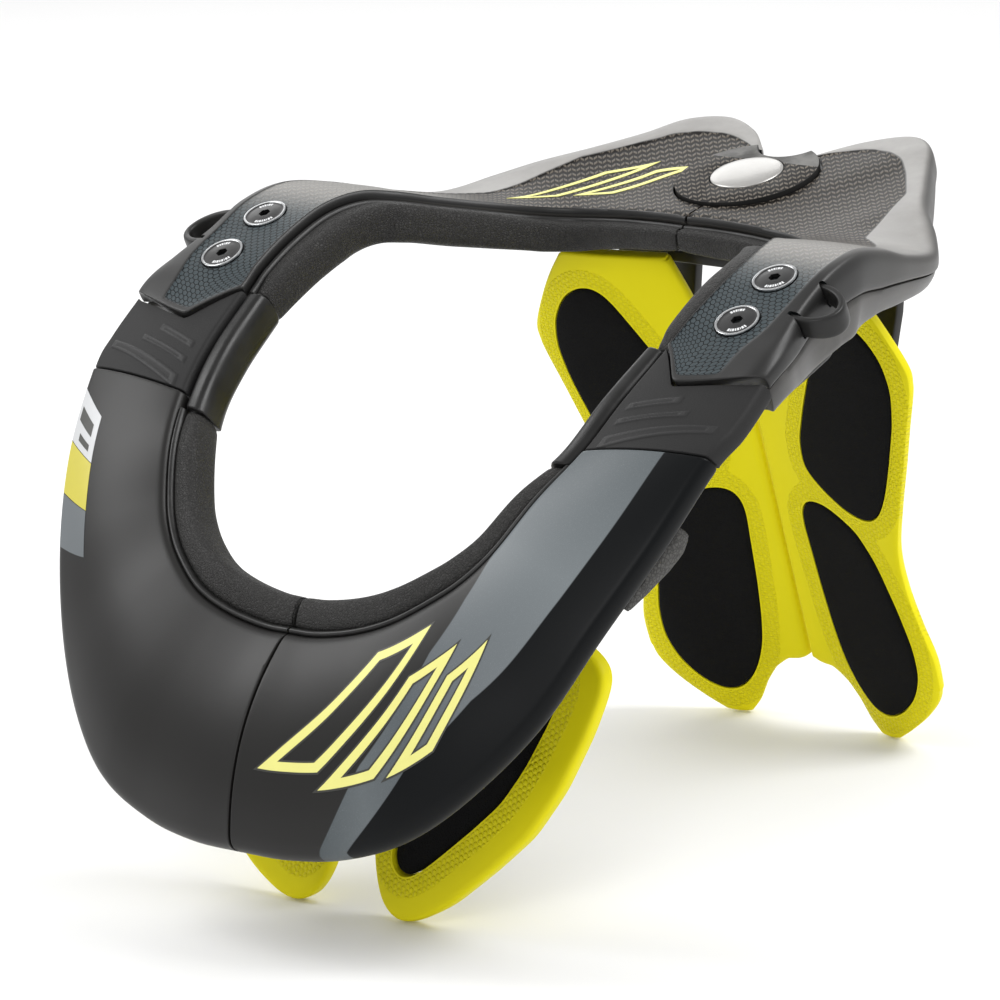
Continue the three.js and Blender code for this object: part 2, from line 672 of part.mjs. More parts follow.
/** Frame of the strap loop on the arm's side wall. */
function loopFrame() {
  const upper = yokePoint(LOOP.row, YOKE_COLUMNS[YOKE_COLUMNS.length - 3]);
  const lower = yokePoint(LOOP.row, YOKE_COLUMNS[YOKE_COLUMNS.length - 1]);
  const origin = upper.top.clone().lerp(lower.top, LOOP.drop);
  const { along, across } = upper.frame;
  const up = across.clone().cross(along).normalize();
  return { origin, along, across, up };
}

/** Rectangle of the loop's band at a point, with its thickness and its width. */
function bandSection(point, thin, wide, band, width) {
  return [
    [-1, -1],
    [1, -1],
    [1, 1],
    [-1, 1],
  ].map(([a, b]) =>
    point
      .clone()
      .addScaledVector(thin, (a * band) / 2)
      .addScaledVector(wide, (b * width) / 2),
  );
}

function strapLoop() {
  const { origin, along, across, up } = loopFrame();
  const loops = [];
  const add = (angle, root) => {
    const point = origin
      .clone()
      .addScaledVector(along, (-Math.cos(angle) * LOOP.span) / 2)
      .addScaledVector(across, Math.sin(angle) * LOOP.reach - root)
      .addScaledVector(up, -Math.sin(angle) * LOOP.droop);
    const thin = along
      .clone()
      .multiplyScalar(-Math.cos(angle))
      .addScaledVector(across, Math.sin(angle))
      .normalize();
    loops.push(bandSection(point, thin, up, LOOP.band, LOOP.width));
  };
  add(0, LOOP.depth);
  for (const angle of places(0, Math.PI, 8)) add(angle, 0);
  add(Math.PI, LOOP.depth);
  return loftLoops(loops);
}

/** Two slots in the arm's side wall that take the loop's ends. */
function loopSlots() {
  const { origin, along, across, up } = loopFrame();
  return [-1, 1].map((end) => {
    const middle = origin.clone().addScaledVector(along, (end * LOOP.span) / 2);
    const sections = [-LOOP.depth - GAP, LOOP.reach].map((out) =>
      bandSection(
        middle.clone().addScaledVector(across, out),
        along,
        up,
        LOOP.band + 2 * GAP,
        LOOP.width + 2 * GAP,
      ),
    );
    return loftLoops(sections);
  });
}

// Padding

const PAD_SIDES = 10;

/** Ring of a pad's section round a centre: a rounded rectangle along the two directions. */
function padRing(centre, sideways, upward, width, height) {
  const squared = (v) => Math.sign(v) * Math.abs(v) ** 0.62;
  return Array.from({ length: PAD_SIDES }, (_, i) => {
    const angle = ((i + 0.5) / PAD_SIDES) * 2 * Math.PI;
    return centre
      .clone()
      .addScaledVector(sideways, (squared(Math.cos(angle)) * width) / 2)
      .addScaledVector(upward, (squared(Math.sin(angle)) * height) / 2);
  });
}

/** Length along the collar, 0 at the front seam and 1 at the rear seam, of a place in either table. */
function collarShare(table, place) {
  const armRows = YOKE_END - ARM_START;
  const front = FLEX_END / (FLEX_END + armRows);
  if (table === BIB_ROWS) return (place / FLEX_END) * front;
  return front + ((place - ARM_START) / armRows) * (1 - front);
}

/** Padding roll along the collar's neck-side edge. */
function padRoll(table, from, to, steps, endShrink) {
  const sink = table === YOKE_ROWS ? PAD.rearSink : PAD.sink;
  const loops = places(from, to, steps).map((place, i) => {
    const share = collarShare(table, place);
    const { inner, across, normal } = rowFrame(table, place);
    const scale = i === 0 || i === steps ? endShrink : 1;
    const width = columnAt(PAD_ROWS, "at", "width", share) * PAD.width;
    const height = columnAt(PAD_ROWS, "at", "height", share) * PAD.height;
    const centre = inner
      .clone()
      .addScaledVector(across, -1.5 * GAP - width / 2)
      .addScaledVector(normal, -sink - height / 2);
    return padRing(centre, across, normal, width * scale, height * scale);
  });
  return loftLoops(besideSeam(loops));
}

const TRIM_START = SHELL_END - 0.25;
const neckPadFront = () => padRoll(BIB_ROWS, 0, TRIM_START - 0.08, 13, 0.9);
const innerTrim = () => padRoll(BIB_ROWS, TRIM_START, FLEX_END - 0.05, 6, 1);
const neckPadRear = () => padRoll(YOKE_ROWS, ARM_START + 0.05, YOKE_END, 17, 0.9);

/** Pad under the bib's outer part. */
function underPad() {
  const steps = 7;
  const loops = places(UNDER_PAD.from, UNDER_PAD.to, steps).map((place, i) => {
    const { bottom, frame } = bibRow(place);
    const size = (key) => columnAt(UNDER_PAD_ROWS, "at", key, i / steps);
    const width = size("width") * UNDER_PAD.width;
    const height = size("height") * UNDER_PAD.height;
    const centre = bottom[bottom.length - 2]
      .clone()
      .addScaledVector(frame.across, -width / 2)
      .addScaledVector(frame.normal, -GAP - height / 2);
    return padRing(centre, frame.across, frame.normal, width, height);
  });
  return loftLoops(loops);
}

/** Pad under the arm's lower shell. */
function shoulderPad() {
  const steps = 8;
  const loops = places(SHOULDER_PAD.from, SHOULDER_PAD.to, steps).map((place, i) => {
    const rounding = Math.sqrt(Math.max(1 - (2 * (i / steps) - 1) ** 4, 0.12));
    const inner = yokePoint(place, YOKE_COLUMNS[1]);
    const outer = yokePoint(place, YOKE_COLUMNS[YOKE_COLUMNS.length - 2]);
    const { frame } = inner;
    const face = (cell) =>
      cell.bottom.clone().addScaledVector(frame.normal, -2 * GAP - cell.lowerDepth);
    const innerFace = face(inner);
    const across = face(outer).sub(innerFace).normalize();
    const down = frame.along.clone().cross(across).normalize();
    const height = SHOULDER_PAD.height * rounding;
    const centre = innerFace
      .lerp(face(outer), SHOULDER_PAD.middle)
      .addScaledVector(down, GAP + height / 2);
    return padRing(centre, across, down, SHOULDER_PAD.width * rounding, height);
  });
  return loftLoops(loops);
}

// Hub

function hubCap() {
  const postLength = HUB.z - STRUT.topZ;
  const disc = hubCylinder(HUB.radius - GAP, HUB.thickness, 0);
  const post = hubCylinder(HUB.postRadius, postLength, -HUB.thickness / 2, 20);
  const seat = hubCylinder(HUB.badgeRadius + GAP, 2 * HUB.badgeSeat, HUB.badgeSeat, 24);
  const scoop = new THREE.CylinderGeometry(HUB.notchRadius, HUB.notchRadius, 4 * HUB.radius, 24);
  scoop.translate(0, 0, -HUB.notchY);
  const level = new THREE.BoxGeometry(4 * HUB.radius, 4 * HUB.radius, HUB.radius * 2);
  level.translate(0, HUB.y, STRUT.topZ + GAP - HUB.radius);
  const solid = solidOf(disc)
    .add(solidOf(post))
    .subtract(solidOf(seat))
    .subtract(solidOf(onHub(scoop)))
    .subtract(solidOf(level));
  return geometryOf(solid);
}

function hubBadge() {
  const base = GAP - HUB.badgeSeat;
  const steps = 4;
  const profile = [new THREE.Vector2(0, base), new THREE.Vector2(HUB.badgeRadius, base)];
  for (let i = 0; i <= steps; i += 1) {
    const angle = (i / steps) * (Math.PI / 2);
    const radius = i === steps ? 0 : HUB.badgeRadius * Math.cos(angle);
    profile.push(new THREE.Vector2(radius, (HUB.badgeHeight - HUB.badgeSeat) * Math.sin(angle)));
  }
  return onHub(new THREE.LatheGeometry(profile, 24));
}

// Back support

/** Y of the back support's body side at a height and a place across. */
function supportY(x, z) {
  const side = 1 - Math.exp(-((x / SUPPORT.wrapWidth) ** 2));
  return SUPPORT.footY - SUPPORT.lean * z - SUPPORT.wrap * side;
}

const SUPPORT_NORMAL = vec(0, -1, -SUPPORT.lean).normalize();

/** Slab that follows the back support's surface inside an outline table. */
function supportSlab(rows, columns, front, back, margin = 0, backInset = 0) {
  const last = rows.length - 1;
  const line = (row, i, offset, grow) => {
    const ends = i === 0 ? -grow : i === last ? grow : 0;
    const z = row.level * SUPPORT.height + ends;
    const inner = row.inner === 0 ? 0 : row.inner * SUPPORT.halfWidth - grow;
    const outer = row.outer * SUPPORT.halfWidth + grow;
    return Array.from({ length: columns }, (_, c) => {
      const x = mix(inner, outer, c / (columns - 1));
      return vec(x, supportY(x, z), z).addScaledVector(SUPPORT_NORMAL, offset);
    });
  };
  return slabBetween(
    rows.map((row, i) => line(row, i, front, margin)),
    rows.map((row, i) => line(row, i, -back, margin - backInset)),
  );
}

function backSupport() {
  const front = supportSlab(SUPPORT_ROWS, 7, 0, SUPPORT.thickness, 0, SUPPORT.edge);
  let half = solidOf(front);
  for (const table of [UPPER_FOAM_ROWS, LOWER_FOAM_ROWS]) {
    const pocket = supportSlab(table, 5, SUPPORT.thickness, SUPPORT.foamDepth, GAP);
    half = half.subtract(solidOf(pocket));
  }
  const overlap = 0.01;
  const left = geometryOf(half);
  const right = mirrored(left);
  left.translate(-overlap, 0, 0);
  return geometryOf(solidOf(left).add(solidOf(right)));
}

const backFoam = (rows) => supportSlab(rows, 5, SUPPORT.foamProud, SUPPORT.foamDepth - GAP);

/** Y of the back support's rear face. */
function supportBack(x, z) {
  return supportY(x, z) + SUPPORT.thickness * Math.hypot(1, SUPPORT.lean);
}

/** Plate under the hub that carries both struts. */
function supportBracket() {
  const width = 2 * STRUT.x + STRUT.width;
  const front = supportBack(0, SUPPORT.height) + 2 * GAP;
  const rear = STRUT.y + STRUT.thickness;
  const plate = new THREE.BoxGeometry(width, rear - front, STRUT.plate);
  plate.translate(0, (front + rear) / 2, STRUT.topZ - STRUT.plate / 2);
  return plate;
}

function strut(side) {
  const topZ = STRUT.topZ - STRUT.plate - GAP;
  const bendZ = STRUT.bendLevel * SUPPORT.height;
  const footZ = STRUT.footLevel * SUPPORT.height;
  const half = STRUT.width / 2;
  const heights = [...places(footZ, bendZ, 3), ...places(bendZ, topZ, 6).slice(1)];
  const loops = heights.map((z) => {
    const rise = Math.min(Math.max((z - bendZ) / (topZ - bendZ), 0), 1);
    const ease = rise * rise * (3 - 2 * rise);
    const face = (x) => mix(supportBack(x, z) + GAP, STRUT.y, ease);
    const [inside, outside] = [STRUT.x - half, STRUT.x + half];
    return [
      vec(inside * side, face(inside), z),
      vec(outside * side, face(outside), z),
      vec(outside * side, face(outside) + STRUT.thickness, z),
      vec(inside * side, face(inside) + STRUT.thickness, z),
    ];
  });
  return loftLoops(loops);
}

// Chest pads

const CHEST_TURN = THREE.MathUtils.degToRad(CHEST.heading);
const chestRise = (along, across) => along * Math.sin(CHEST_TURN) - across * Math.cos(CHEST_TURN);
const CHEST_LOWEST = Math.min(
  ...CHEST_ROWS.flatMap((row) => [
    chestRise(row.at * CHEST.length, row.left * CHEST.width),
    chestRise(row.at * CHEST.length, row.right * CHEST.width),
  ]),
);

/** Point of the chest pad's front face, along its long axis and across it, and moved forward. */
function chestPoint(along, across, forward = 0) {
  const x = CHEST.tipX + along * Math.cos(CHEST_TURN) + across * Math.sin(CHEST_TURN);
  const z = chestRise(along, across) - CHEST_LOWEST;
  return vec(x, CHEST.tipY + CHEST.lean * z - forward, z);
}

function chestSlab(rows, columns, front, back, grow = 0) {
  const last = rows.length - 1;
  const line = (row, i, forward) => {
    const ends = i === 0 ? -grow : i === last ? grow : 0;
    const left = row.left * CHEST.width - grow;
    const right = row.right * CHEST.width + grow;
    return Array.from({ length: columns }, (_, c) =>
      chestPoint(row.at * CHEST.length + ends, mix(left, right, c / (columns - 1)), forward),
    );
  };
  return slabBetween(
    rows.map((row, i) => line(row, i, front)),
    rows.map((row, i) => line(row, i, -back)),
  );
}

/** Outline of the inset: the pad's own, drawn in by the border. */
function insetRows() {
  const ends = CHEST.endBorder / CHEST.length;
  return CHEST_ROWS.map((row) => {
    const at = mix(ends, 1 - ends, row.at);
    const left = columnAt(CHEST_ROWS, "at", "left", at) + CHEST.innerBorder / CHEST.width;
    const right = columnAt(CHEST_ROWS, "at", "right", at) - CHEST.border / CHEST.width;
    return { at, left: Math.min(left, right - 0.05), right };
  });
}

function chestPad() {
  const pad = solidOf(chestSlab(CHEST_ROWS, 5, 0, CHEST.thickness));
  const window = solidOf(chestSlab(insetRows(), 4, CHEST.thickness, 2 * CHEST.thickness, GAP));
  return geometryOf(pad.subtract(window));
}

const chestInset = () => chestSlab(insetRows(), 4, -CHEST.insetSink, CHEST.thickness - CHEST.insetSink);

/** Bar between the chest pad's front face and the bib's underside. */
function chestBracket() {
  const { bottom, frame } = bibRow(CHEST.armRow);
  const end = bottom[3].clone().addScaledVector(frame.normal, -2 * GAP);
  const foot = chestPoint(CHEST.armFoot * CHEST.length, -CHEST.armWidth, GAP);
  const half = CHEST.armWidth / 2;
  const ring = (centre, sideways, upward) =>
    bandSection(centre, upward, sideways, CHEST.armThickness, 2 * half);
  const level = vec(1, 0, 0);
  const rise = vec(0, CHEST.lean, 1).normalize();
  const shellAlong = frame.along.clone();
  const shellAcross = frame.across.clone();
  return loftLoops([
    ring(foot, level, rise),
    ring(foot.clone().add(vec(0, -CHEST.armThickness, 0)), level, rise),
    ring(end, shellAcross, shellAlong),
  ]);
}

// Assembly

const brace = new THREE.Group();

function addMesh(parent, name, geometry, finish) {
  const mesh = new THREE.Mesh(geometry, finish);
  mesh.name = name;
  parent.add(mesh);
}

const HALF_PIECES = [
  ["front_shell", frontShell, FINISH.satinShell],
  ["flex_panel", flexPanel, FINISH.rubber],
  ["inner_trim", innerTrim, FINISH.rubber],
  ["neck_pad_front", neckPadFront, FINISH.padding],
  ["neck_pad_rear", neckPadRear, FINISH.padding],
  ["under_pad", underPad, FINISH.padding],
  ["rear_frame", rearFrame, FINISH.carbon],
  ["rear_lower", rearLower, FINISH.greyShell],
  ["shoulder_pad", shoulderPad, FINISH.padding],
  ["strap_loop", strapLoop, FINISH.rubber],
  ["bolt_upper", () => bolt(BOLT.upper), FINISH.screw],
  ["bolt_lower", () => bolt(BOLT.lower), FINISH.screw],
  ["chest_pad", chestPad, FINISH.yellow],
  ["chest_inset", chestInset, FINISH.foam],
  ["chest_bracket", chestBracket, FINISH.rubber],
];

const left = new THREE.Group();
const right = new THREE.Group();
for (const [name, build, finish] of HALF_PIECES) {
  const geometry = build();
  addMesh(left, `${name}_left`, geometry, finish);
  addMesh(right, `${name}_right`, mirrored(geometry), finish);
}

const middle = new THREE.Group();
addMesh(middle, "hub_cap", hubCap(), FINISH.carbon);
addMesh(middle, "hub_badge", hubBadge(), FINISH.badge);
addMesh(middle, "support_bracket", supportBracket(), FINISH.rubber);
addMesh(middle, "back_support", backSupport(), FINISH.yellow);
for (const [name, rows] of [
  ["back_foam_upper", UPPER_FOAM_ROWS],
  ["back_foam_lower", LOWER_FOAM_ROWS],
]) {
  const foam = backFoam(rows);
  addMesh(middle, `${name}_left`, foam, FINISH.foam);
  addMesh(middle, `${name}_right`, mirrored(foam), FINISH.foam);
}
addMesh(middle, "strut_left", strut(1), FINISH.rubber);
addMesh(middle, "strut_right", strut(-1), FINISH.rubber);

brace.add(left, right, middle);

// The origin lies on the floor, in the middle of the brace's length
const bounds = new THREE.Box3().setFromObject(brace);
brace.position.y = -(bounds.min.y + bounds.max.y) / 2;

export default brace;
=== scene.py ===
"""Looks of a motocross neck brace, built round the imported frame. Metres, +Z up, the wearer faces -Y."""

import logging
import math
from dataclasses import dataclass, field
from enum import Enum
from typing import Any, Callable, Sequence

import bmesh
import bpy
import numpy as np
from mathutils import Matrix, Vector


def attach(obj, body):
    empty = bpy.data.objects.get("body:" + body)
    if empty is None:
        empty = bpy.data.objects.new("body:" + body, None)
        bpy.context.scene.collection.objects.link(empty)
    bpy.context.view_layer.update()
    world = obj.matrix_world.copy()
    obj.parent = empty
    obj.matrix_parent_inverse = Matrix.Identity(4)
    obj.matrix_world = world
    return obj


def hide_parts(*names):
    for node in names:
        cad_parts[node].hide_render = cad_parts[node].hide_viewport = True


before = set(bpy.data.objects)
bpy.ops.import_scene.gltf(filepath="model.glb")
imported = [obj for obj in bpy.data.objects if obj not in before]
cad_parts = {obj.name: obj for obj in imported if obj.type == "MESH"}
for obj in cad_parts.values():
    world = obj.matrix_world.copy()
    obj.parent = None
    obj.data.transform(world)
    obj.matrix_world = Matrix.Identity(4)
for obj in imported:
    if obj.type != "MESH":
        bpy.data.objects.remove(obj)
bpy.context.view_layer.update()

LOG = logging.getLogger("neck_brace")
MM = 0.001
Array = np.ndarray
Colour = tuple[float, float, float]
Rows = Sequence[tuple[float, float, float]]
Piece, Material, Socket = bpy.types.Object, bpy.types.Material, bpy.types.NodeSocket


class Side(Enum):
    """The wearer's left and right half of the collar."""

    LEFT = "left"
    RIGHT = "right"

    @property
    def sign(self) -> int:
        """Sign of X on this side."""
        return 1 if self is Side.LEFT else -1

    @property
    def body(self) -> str:
        """Name of the moving body on this side."""
        return f"{self.value}_half"


# Shape of the collar


def smooth(values: Array, place: Array) -> Array:
    """Value of a column of a table at fractional rows, on a smooth curve through the rows.

    Args:
        values: One number a row.
        place: Fractional row numbers.

    Returns:
        The values there.
    """
    place = np.asarray(place, float)
    row = np.clip(np.floor(place).astype(int), 0, len(values) - 2)
    t = place - row
    longer = np.concatenate([[2 * values[0] - values[1]], values, [2 * values[-1] - values[-2]]])
    before, here, there, after = (longer[row + k] for k in range(4))
    start, end = (there - before) / 2, (after - here) / 2
    return (
        (2 * t**3 - 3 * t**2 + 1) * here
        + (t**3 - 2 * t**2 + t) * start
        + (3 * t**2 - 2 * t**3) * there
        + (t**3 - t**2) * end
    )


def unit(vectors: Array) -> Array:
    """Vectors at length one."""
    return vectors / np.maximum(np.linalg.norm(vectors, axis=-1, keepdims=True), 1e-12)


def ease_between(low: float, high: float, value: Array) -> Array:
    """0 below low, 1 above high, and a smooth step between."""
    t = np.clip((np.asarray(value, float) - low) / (high - low), 0, 1)
    return t * t * (3 - 2 * t)


def squared_circle(sides: int, power: float) -> tuple[Array, Array, Array]:
    """Points round a circle drawn out towards a square.

    Args:
        sides: Number of points.
        power: 1 for a circle, less for a squarer shape.

    Returns:
        Their angles, and how far they lie along the two directions, from -1 to 1.
    """
    angle = (np.arange(sides) + 0.5) / sides * 2 * math.pi
    cos, sin = (np.sign(v) * np.abs(v) ** power for v in (np.cos(angle), np.sin(angle)))
    return angle, cos, sin


def tube(
    centre: Array, across: Array, up: Array, width: Array, height: Array, sides: int, power: float
) -> Array:
    """Rings of squared circles round a line of centres.

    Args:
        centre: Middle of each ring.
        across: Direction of its width.
        up: Direction of its height.
        width: Full widths.
        height: Full heights.
        sides: Points of a ring.
        power: 1 for ovals, less for squarer rings.

    Returns:
        Rings by points.
    """
    _, cos, sin = squared_circle(sides, power)
    return (
        centre[:, None]
        + across[:, None] * (cos * width[:, None] / 2)[..., None]
        + up[:, None] * (sin * height[:, None] / 2)[..., None]
    )


@dataclass(frozen=True)
class RowFrame:
    """Edges and directions of collar rows."""

    inner: Array
    outer: Array
    across: Array
    along: Array
    normal: Array


@dataclass(frozen=True)
class CollarTable:
    """Rows of the collar: inner x y z, outer x y z as shares of its size, then other columns."""

    rows: tuple[tuple[float, ...], ...]
    half_width: float = 0.146
    depth: float = 0.350
    height: float = 0.230
    shift: float = 0.022533

    def column(self, index: int, place: Array) -> Array:
        """Value of one column at fractional rows."""
        return smooth(np.array([row[index] for row in self.rows]), place)

    def edge(self, first: int, place: Array) -> Array:
        """Points of the edge whose columns start at first."""
        size = np.array([self.half_width, self.depth, self.height])
        points = np.stack([self.column(first + k, place) for k in range(3)], -1) * size
        return points + np.array([0, self.shift, 0])

    def frame(self, place: Array) -> RowFrame:
        """Edge points and unit directions of rows.

        Args:
            place: Fractional row numbers.

        Returns:
            The rows' frame.
        """
        place = np.asarray(place, float)
        inner, outer = self.edge(0, place), self.edge(3, place)
        ahead, behind = np.minimum(place + 0.05, len(self.rows) - 1), np.maximum(place - 0.05, 0)
        middle = self.edge(0, ahead) + self.edge(3, ahead) - self.edge(0, behind) - self.edge(3, behind)
        across, along = unit(outer - inner), unit(middle)
        return RowFrame(inner, outer, across, along, unit(np.cross(across, along)))

    def length(self, place: float) -> float:
        """Length of one row step at a place."""
        last = len(self.rows) - 1
        ends = np.array([max(place - 0.5, 0), min(place + 0.5, last)])
        middle = (self.edge(0, ends) + self.edge(3, ends)) / 2
        return float(np.linalg.norm(middle[1] - middle[0]))


BIB = CollarTable(
    (
        (0.0, -0.472, 0.477, 0.0, -0.574, 0.176, 1.0),
        (0.085, -0.471, 0.478, 0.151, -0.569, 0.175, 1.0),
        (0.201, -0.469, 0.491, 0.312, -0.558, 0.187, 0.95),
        (0.308, -0.462, 0.514, 0.479, -0.543, 0.227, 0.85),
        (0.397, -0.446, 0.546, 0.618, -0.514, 0.296, 0.75),
        (0.466, -0.427, 0.579, 0.749, -0.471, 0.398, 0.6),
        (0.524, -0.403, 0.624, 0.851, -0.422, 0.53, 0.45),
        (0.584, -0.365, 0.696, 0.935, -0.361, 0.655, 0.35),
        (0.634, -0.315, 0.759, 0.981, -0.296, 0.768, 0.3),
        (0.658, -0.263, 0.822, 1.0, -0.257, 0.809, 0.25),
        (0.674, -0.194, 0.887, 1.0, -0.205, 0.865, 0.2),
    )
)
YOKE = CollarTable(
    (
        (0.663, -0.253, 0.848, 0.882, -0.255, 0.832, 1.0, 0.45, 0.1, 1, 0.8),
        (0.674, -0.194, 0.889, 0.897, -0.2, 0.887, 0.97, 0.55, 0, 1, 0.75),
        (0.68, -0.163, 0.919, 0.92, -0.162, 0.916, 0.6, 0.7, 0, 1, 0.85),
        (0.682, -0.114, 0.954, 0.921, -0.118, 0.946, 0.36, 0.8, 0, 1, 1.0),
        (0.675, -0.06, 0.982, 0.918, -0.066, 0.98, 0.3, 0.95, 0, 1, 1.0),
        (0.648, -0.013, 0.992, 0.907, -0.01, 0.993, 0.26, 1.0, 0.1, 1, 0.97),
        (0.603, 0.024, 0.984, 0.877, 0.052, 0.976, 0.24, 0.9, 0.2, 1, 0.7),
        (0.562, 0.071, 0.965, 0.842, 0.109, 0.949, 0.27, 0.62, 0.2, 1, 0.6),
        (0.5, 0.123, 0.945, 0.775, 0.182, 0.929, 0.36, 0.52, 0.2, 1, 0.42),
        (0.432, 0.16, 0.931, 0.675, 0.229, 0.947, 0.45, 0.85, 0, 1, 0.34),
        (0.356, 0.183, 0.925, 0.6, 0.27, 0.965, 0.3, 0.85, -0.1, 1, 0.32),
        (0.28, 0.192, 0.926, 0.53, 0.316, 0.977, 0.27, 0.85, -0.3, 1, 0.3),
        (0.212, 0.195, 0.928, 0.453, 0.368, 0.992, 0.25, 0.8, -0.4, 1.2, 0.3),
        (0.144, 0.197, 0.929, 0.385, 0.411, 1.009, 0.22, 0.8, -0.4, 1.5, 0.3),
        (0.082, 0.197, 0.93, 0.29, 0.435, 1.011, 0.18, 0.75, -0.3, 2, 0.3),
        (0.034, 0.197, 0.93, 0.18, 0.42, 1.0, 0.1, 0.7, -0.1, 2.8, 0.3),
        (0.0, 0.197, 0.93, 0.089, 0.386, 0.983, 0.05, 0.6, 0, 3.6, 0.3),
    )
)
SHELL_END = 8
FLEX_END = 10
ARM_START = 1
YOKE_END = 16
GAP = 0.4 * MM
SEAM = 0.5 * MM
CLOTH_STEPS = 16
OUTLINE_STEP = 1.2 * MM
OUTLINE_WEAR = 14


# Modelling steps


def select_only(*objects: Piece) -> None:
    """Leaves object mode, selects these objects alone and makes the first active."""
    if bpy.context.object is not None and bpy.context.object.mode != "OBJECT":
        bpy.ops.object.mode_set(mode="OBJECT")
    bpy.ops.object.select_all(action="DESELECT")
    for obj in objects:
        obj.select_set(True)
    bpy.context.view_layer.objects.active = objects[0] if objects else None


def named(name: str) -> Piece:
    """The active object, with its own name for itself and its mesh."""
    obj = bpy.context.object
    obj.name = name
    obj.data.name = name
    return obj


def apply_place(obj: Piece) -> None:
    """Moves an object's place, turn and scale into its mesh."""
    select_only(obj)
    bpy.ops.object.transform_apply(location=True, rotation=True, scale=True)


def apply_modifier(obj: Piece, kind: str, **settings: Any) -> None:
    """Adds a modifier with these settings and applies it.

    Args:
        obj: The piece.
        kind: Blender's name for the modifier.
        settings: The modifier's settings.
    """
    select_only(obj)
    modifier = obj.modifiers.new(kind.lower(), kind)
    for key, value in settings.items():
        setattr(modifier, key, value)
    bpy.ops.object.modifier_apply(modifier=modifier.name)


def edit(obj: Piece, *steps: Callable[[], Any]) -> None:
    """Runs edit-mode steps on everything in a piece.

    Args:
        obj: The piece.
        steps: Operators to run, in order.
    """
    select_only(obj)
    bpy.ops.object.mode_set(mode="EDIT")
    bpy.ops.mesh.select_mode(type="VERT")
    bpy.ops.mesh.select_all(action="SELECT")
    for step in steps:
        step()
    bpy.ops.object.mode_set(mode="OBJECT")


def merge_points(distance: float = 2e-6) -> Callable[[], Any]:
    """Edit step that merges points closer than a distance."""
    return lambda: bpy.ops.mesh.remove_doubles(threshold=distance)


def face_out() -> Any:
    """Edit step that turns every face outwards."""
    return bpy.ops.mesh.normals_make_consistent(inside=False)


def shade(obj: Piece, angle: float = 40) -> Piece:
    """Smooth shading, with edges over this many degrees kept sharp."""
    select_only(obj)
    bpy.ops.object.shade_smooth_by_angle(angle=math.radians(angle))
    return obj


def add_uv(obj: Piece, name: str, values: Array) -> None:
    """Adds a UV map from one pair of numbers for each vertex."""
    mesh = obj.data
    layer = mesh.uv_layers.get(name) or mesh.uv_layers.new(name=name)
    corner = np.zeros(len(mesh.loops), int)
    mesh.loops.foreach_get("vertex_index", corner)
    layer.data.foreach_set("uv", np.asarray(values, np.float32)[corner].ravel())


def grid_piece(name: str, points: Array, uvs: dict[str, Array] | None = None) -> Piece:
    """A grid primitive with its vertices placed row by row.

    Args:
        name: Name of the piece.
        points: Rows by columns of points.
        uvs: UV maps by name, each rows by columns of pairs.

    Returns:
        The new object.
    """
    rows, columns = points.shape[:2]
    select_only()
    bpy.ops.mesh.primitive_grid_add(x_subdivisions=columns - 1, y_subdivisions=rows - 1, size=1)
    obj = named(name)
    obj.data.vertices.foreach_set("co", np.asarray(points, np.float32).ravel())
    for key, values in (uvs or {}).items():
        add_uv(obj, key, values.reshape(-1, 2))
    return obj


def cylinder(name: str, radius: float, height: float, middle: Sequence[float], sides: int) -> Piece:
    """A cylinder primitive whose place is in its mesh.

    Args:
        name: Name of the piece.
        radius: Radius.
        height: Height along Z.
        middle: Its middle.
        sides: Number of sides.

    Returns:
        The new object.
    """
    select_only()
    bpy.ops.mesh.primitive_cylinder_add(vertices=sides, radius=radius, depth=height, location=middle)
    obj = named(name)
    apply_place(obj)
    return obj


def loft(
    name: str,
    loops: Array,
    uvs: dict[str, Array] | None = None,
    ends: tuple[float, float] = (0.6 * MM, 0.6 * MM),
) -> Piece:
    """A closed body through rings of points, rounded and closed at both ends.

    Point i of a ring lies over point m-1-i of its other face.

    Args:
        name: Name of the piece.
        loops: Rings by points.
        uvs: UV maps by name, rings by points by two.
        ends: Rounding of the first and last end.

    Returns:
        The new object.
    """
    uvs = dict(uvs or {})
    rows = list(loops)
    rings = list(range(len(loops)))
    for end, radius in ((0, ends[0]), (-1, ends[1])):
        ring = rows[end]
        outward = unit((rows[end] - rows[1 if end == 0 else -2]).mean(0))
        towards = ring[::-1] - ring
        reach = np.linalg.norm(towards, axis=-1, keepdims=True)
        extra = []
        for angle in (0, 30, 60, 90):
            inset = np.minimum(radius * (1 - math.cos(math.radians(angle))), 0.45 * reach)
            sunk = radius * (1 - math.sin(math.radians(angle)))
            extra.append(ring + unit(towards) * inset - outward * sunk)
        extra.append((ring + ring[::-1]) / 2)
        index = rings[end]
        if end == 0:
            rows = extra[::-1] + rows[1:]
            rings = [index] * 5 + rings[1:]
        else:
            rows = rows[:-1] + extra
            rings = rings[:-1] + [index] * 5
    points = np.stack(rows)
    points = np.concatenate([points, points[:, :1]], 1)
    maps = {}
    for key, values in uvs.items():
        wide = np.concatenate([values, values[:, :1]], 1)
        maps[key] = wide[rings]
    obj = grid_piece(name, points, maps)
    edit(obj, merge_points(), face_out)
    return obj


def cut(obj: Piece, cutter: Piece, operation: str = "DIFFERENCE") -> None:
    """Cuts one body with another, which is then removed.

    Args:
        obj: The piece.
        cutter: The body that cuts.
        operation: DIFFERENCE, UNION or INTERSECT.
    """
    apply_modifier(obj, "BOOLEAN", object=cutter, operation=operation, solver="MANIFOLD")
    bpy.data.objects.remove(cutter)


def soften(obj: Piece, width: float, segments: int = 2, angle: float = 50) -> None:
    """Rounds the sharp edges of a piece."""
    apply_modifier(
        obj, "BEVEL", width=width, segments=segments, limit_method="ANGLE",
        angle_limit=math.radians(angle), use_clamp_overlap=True,
    )


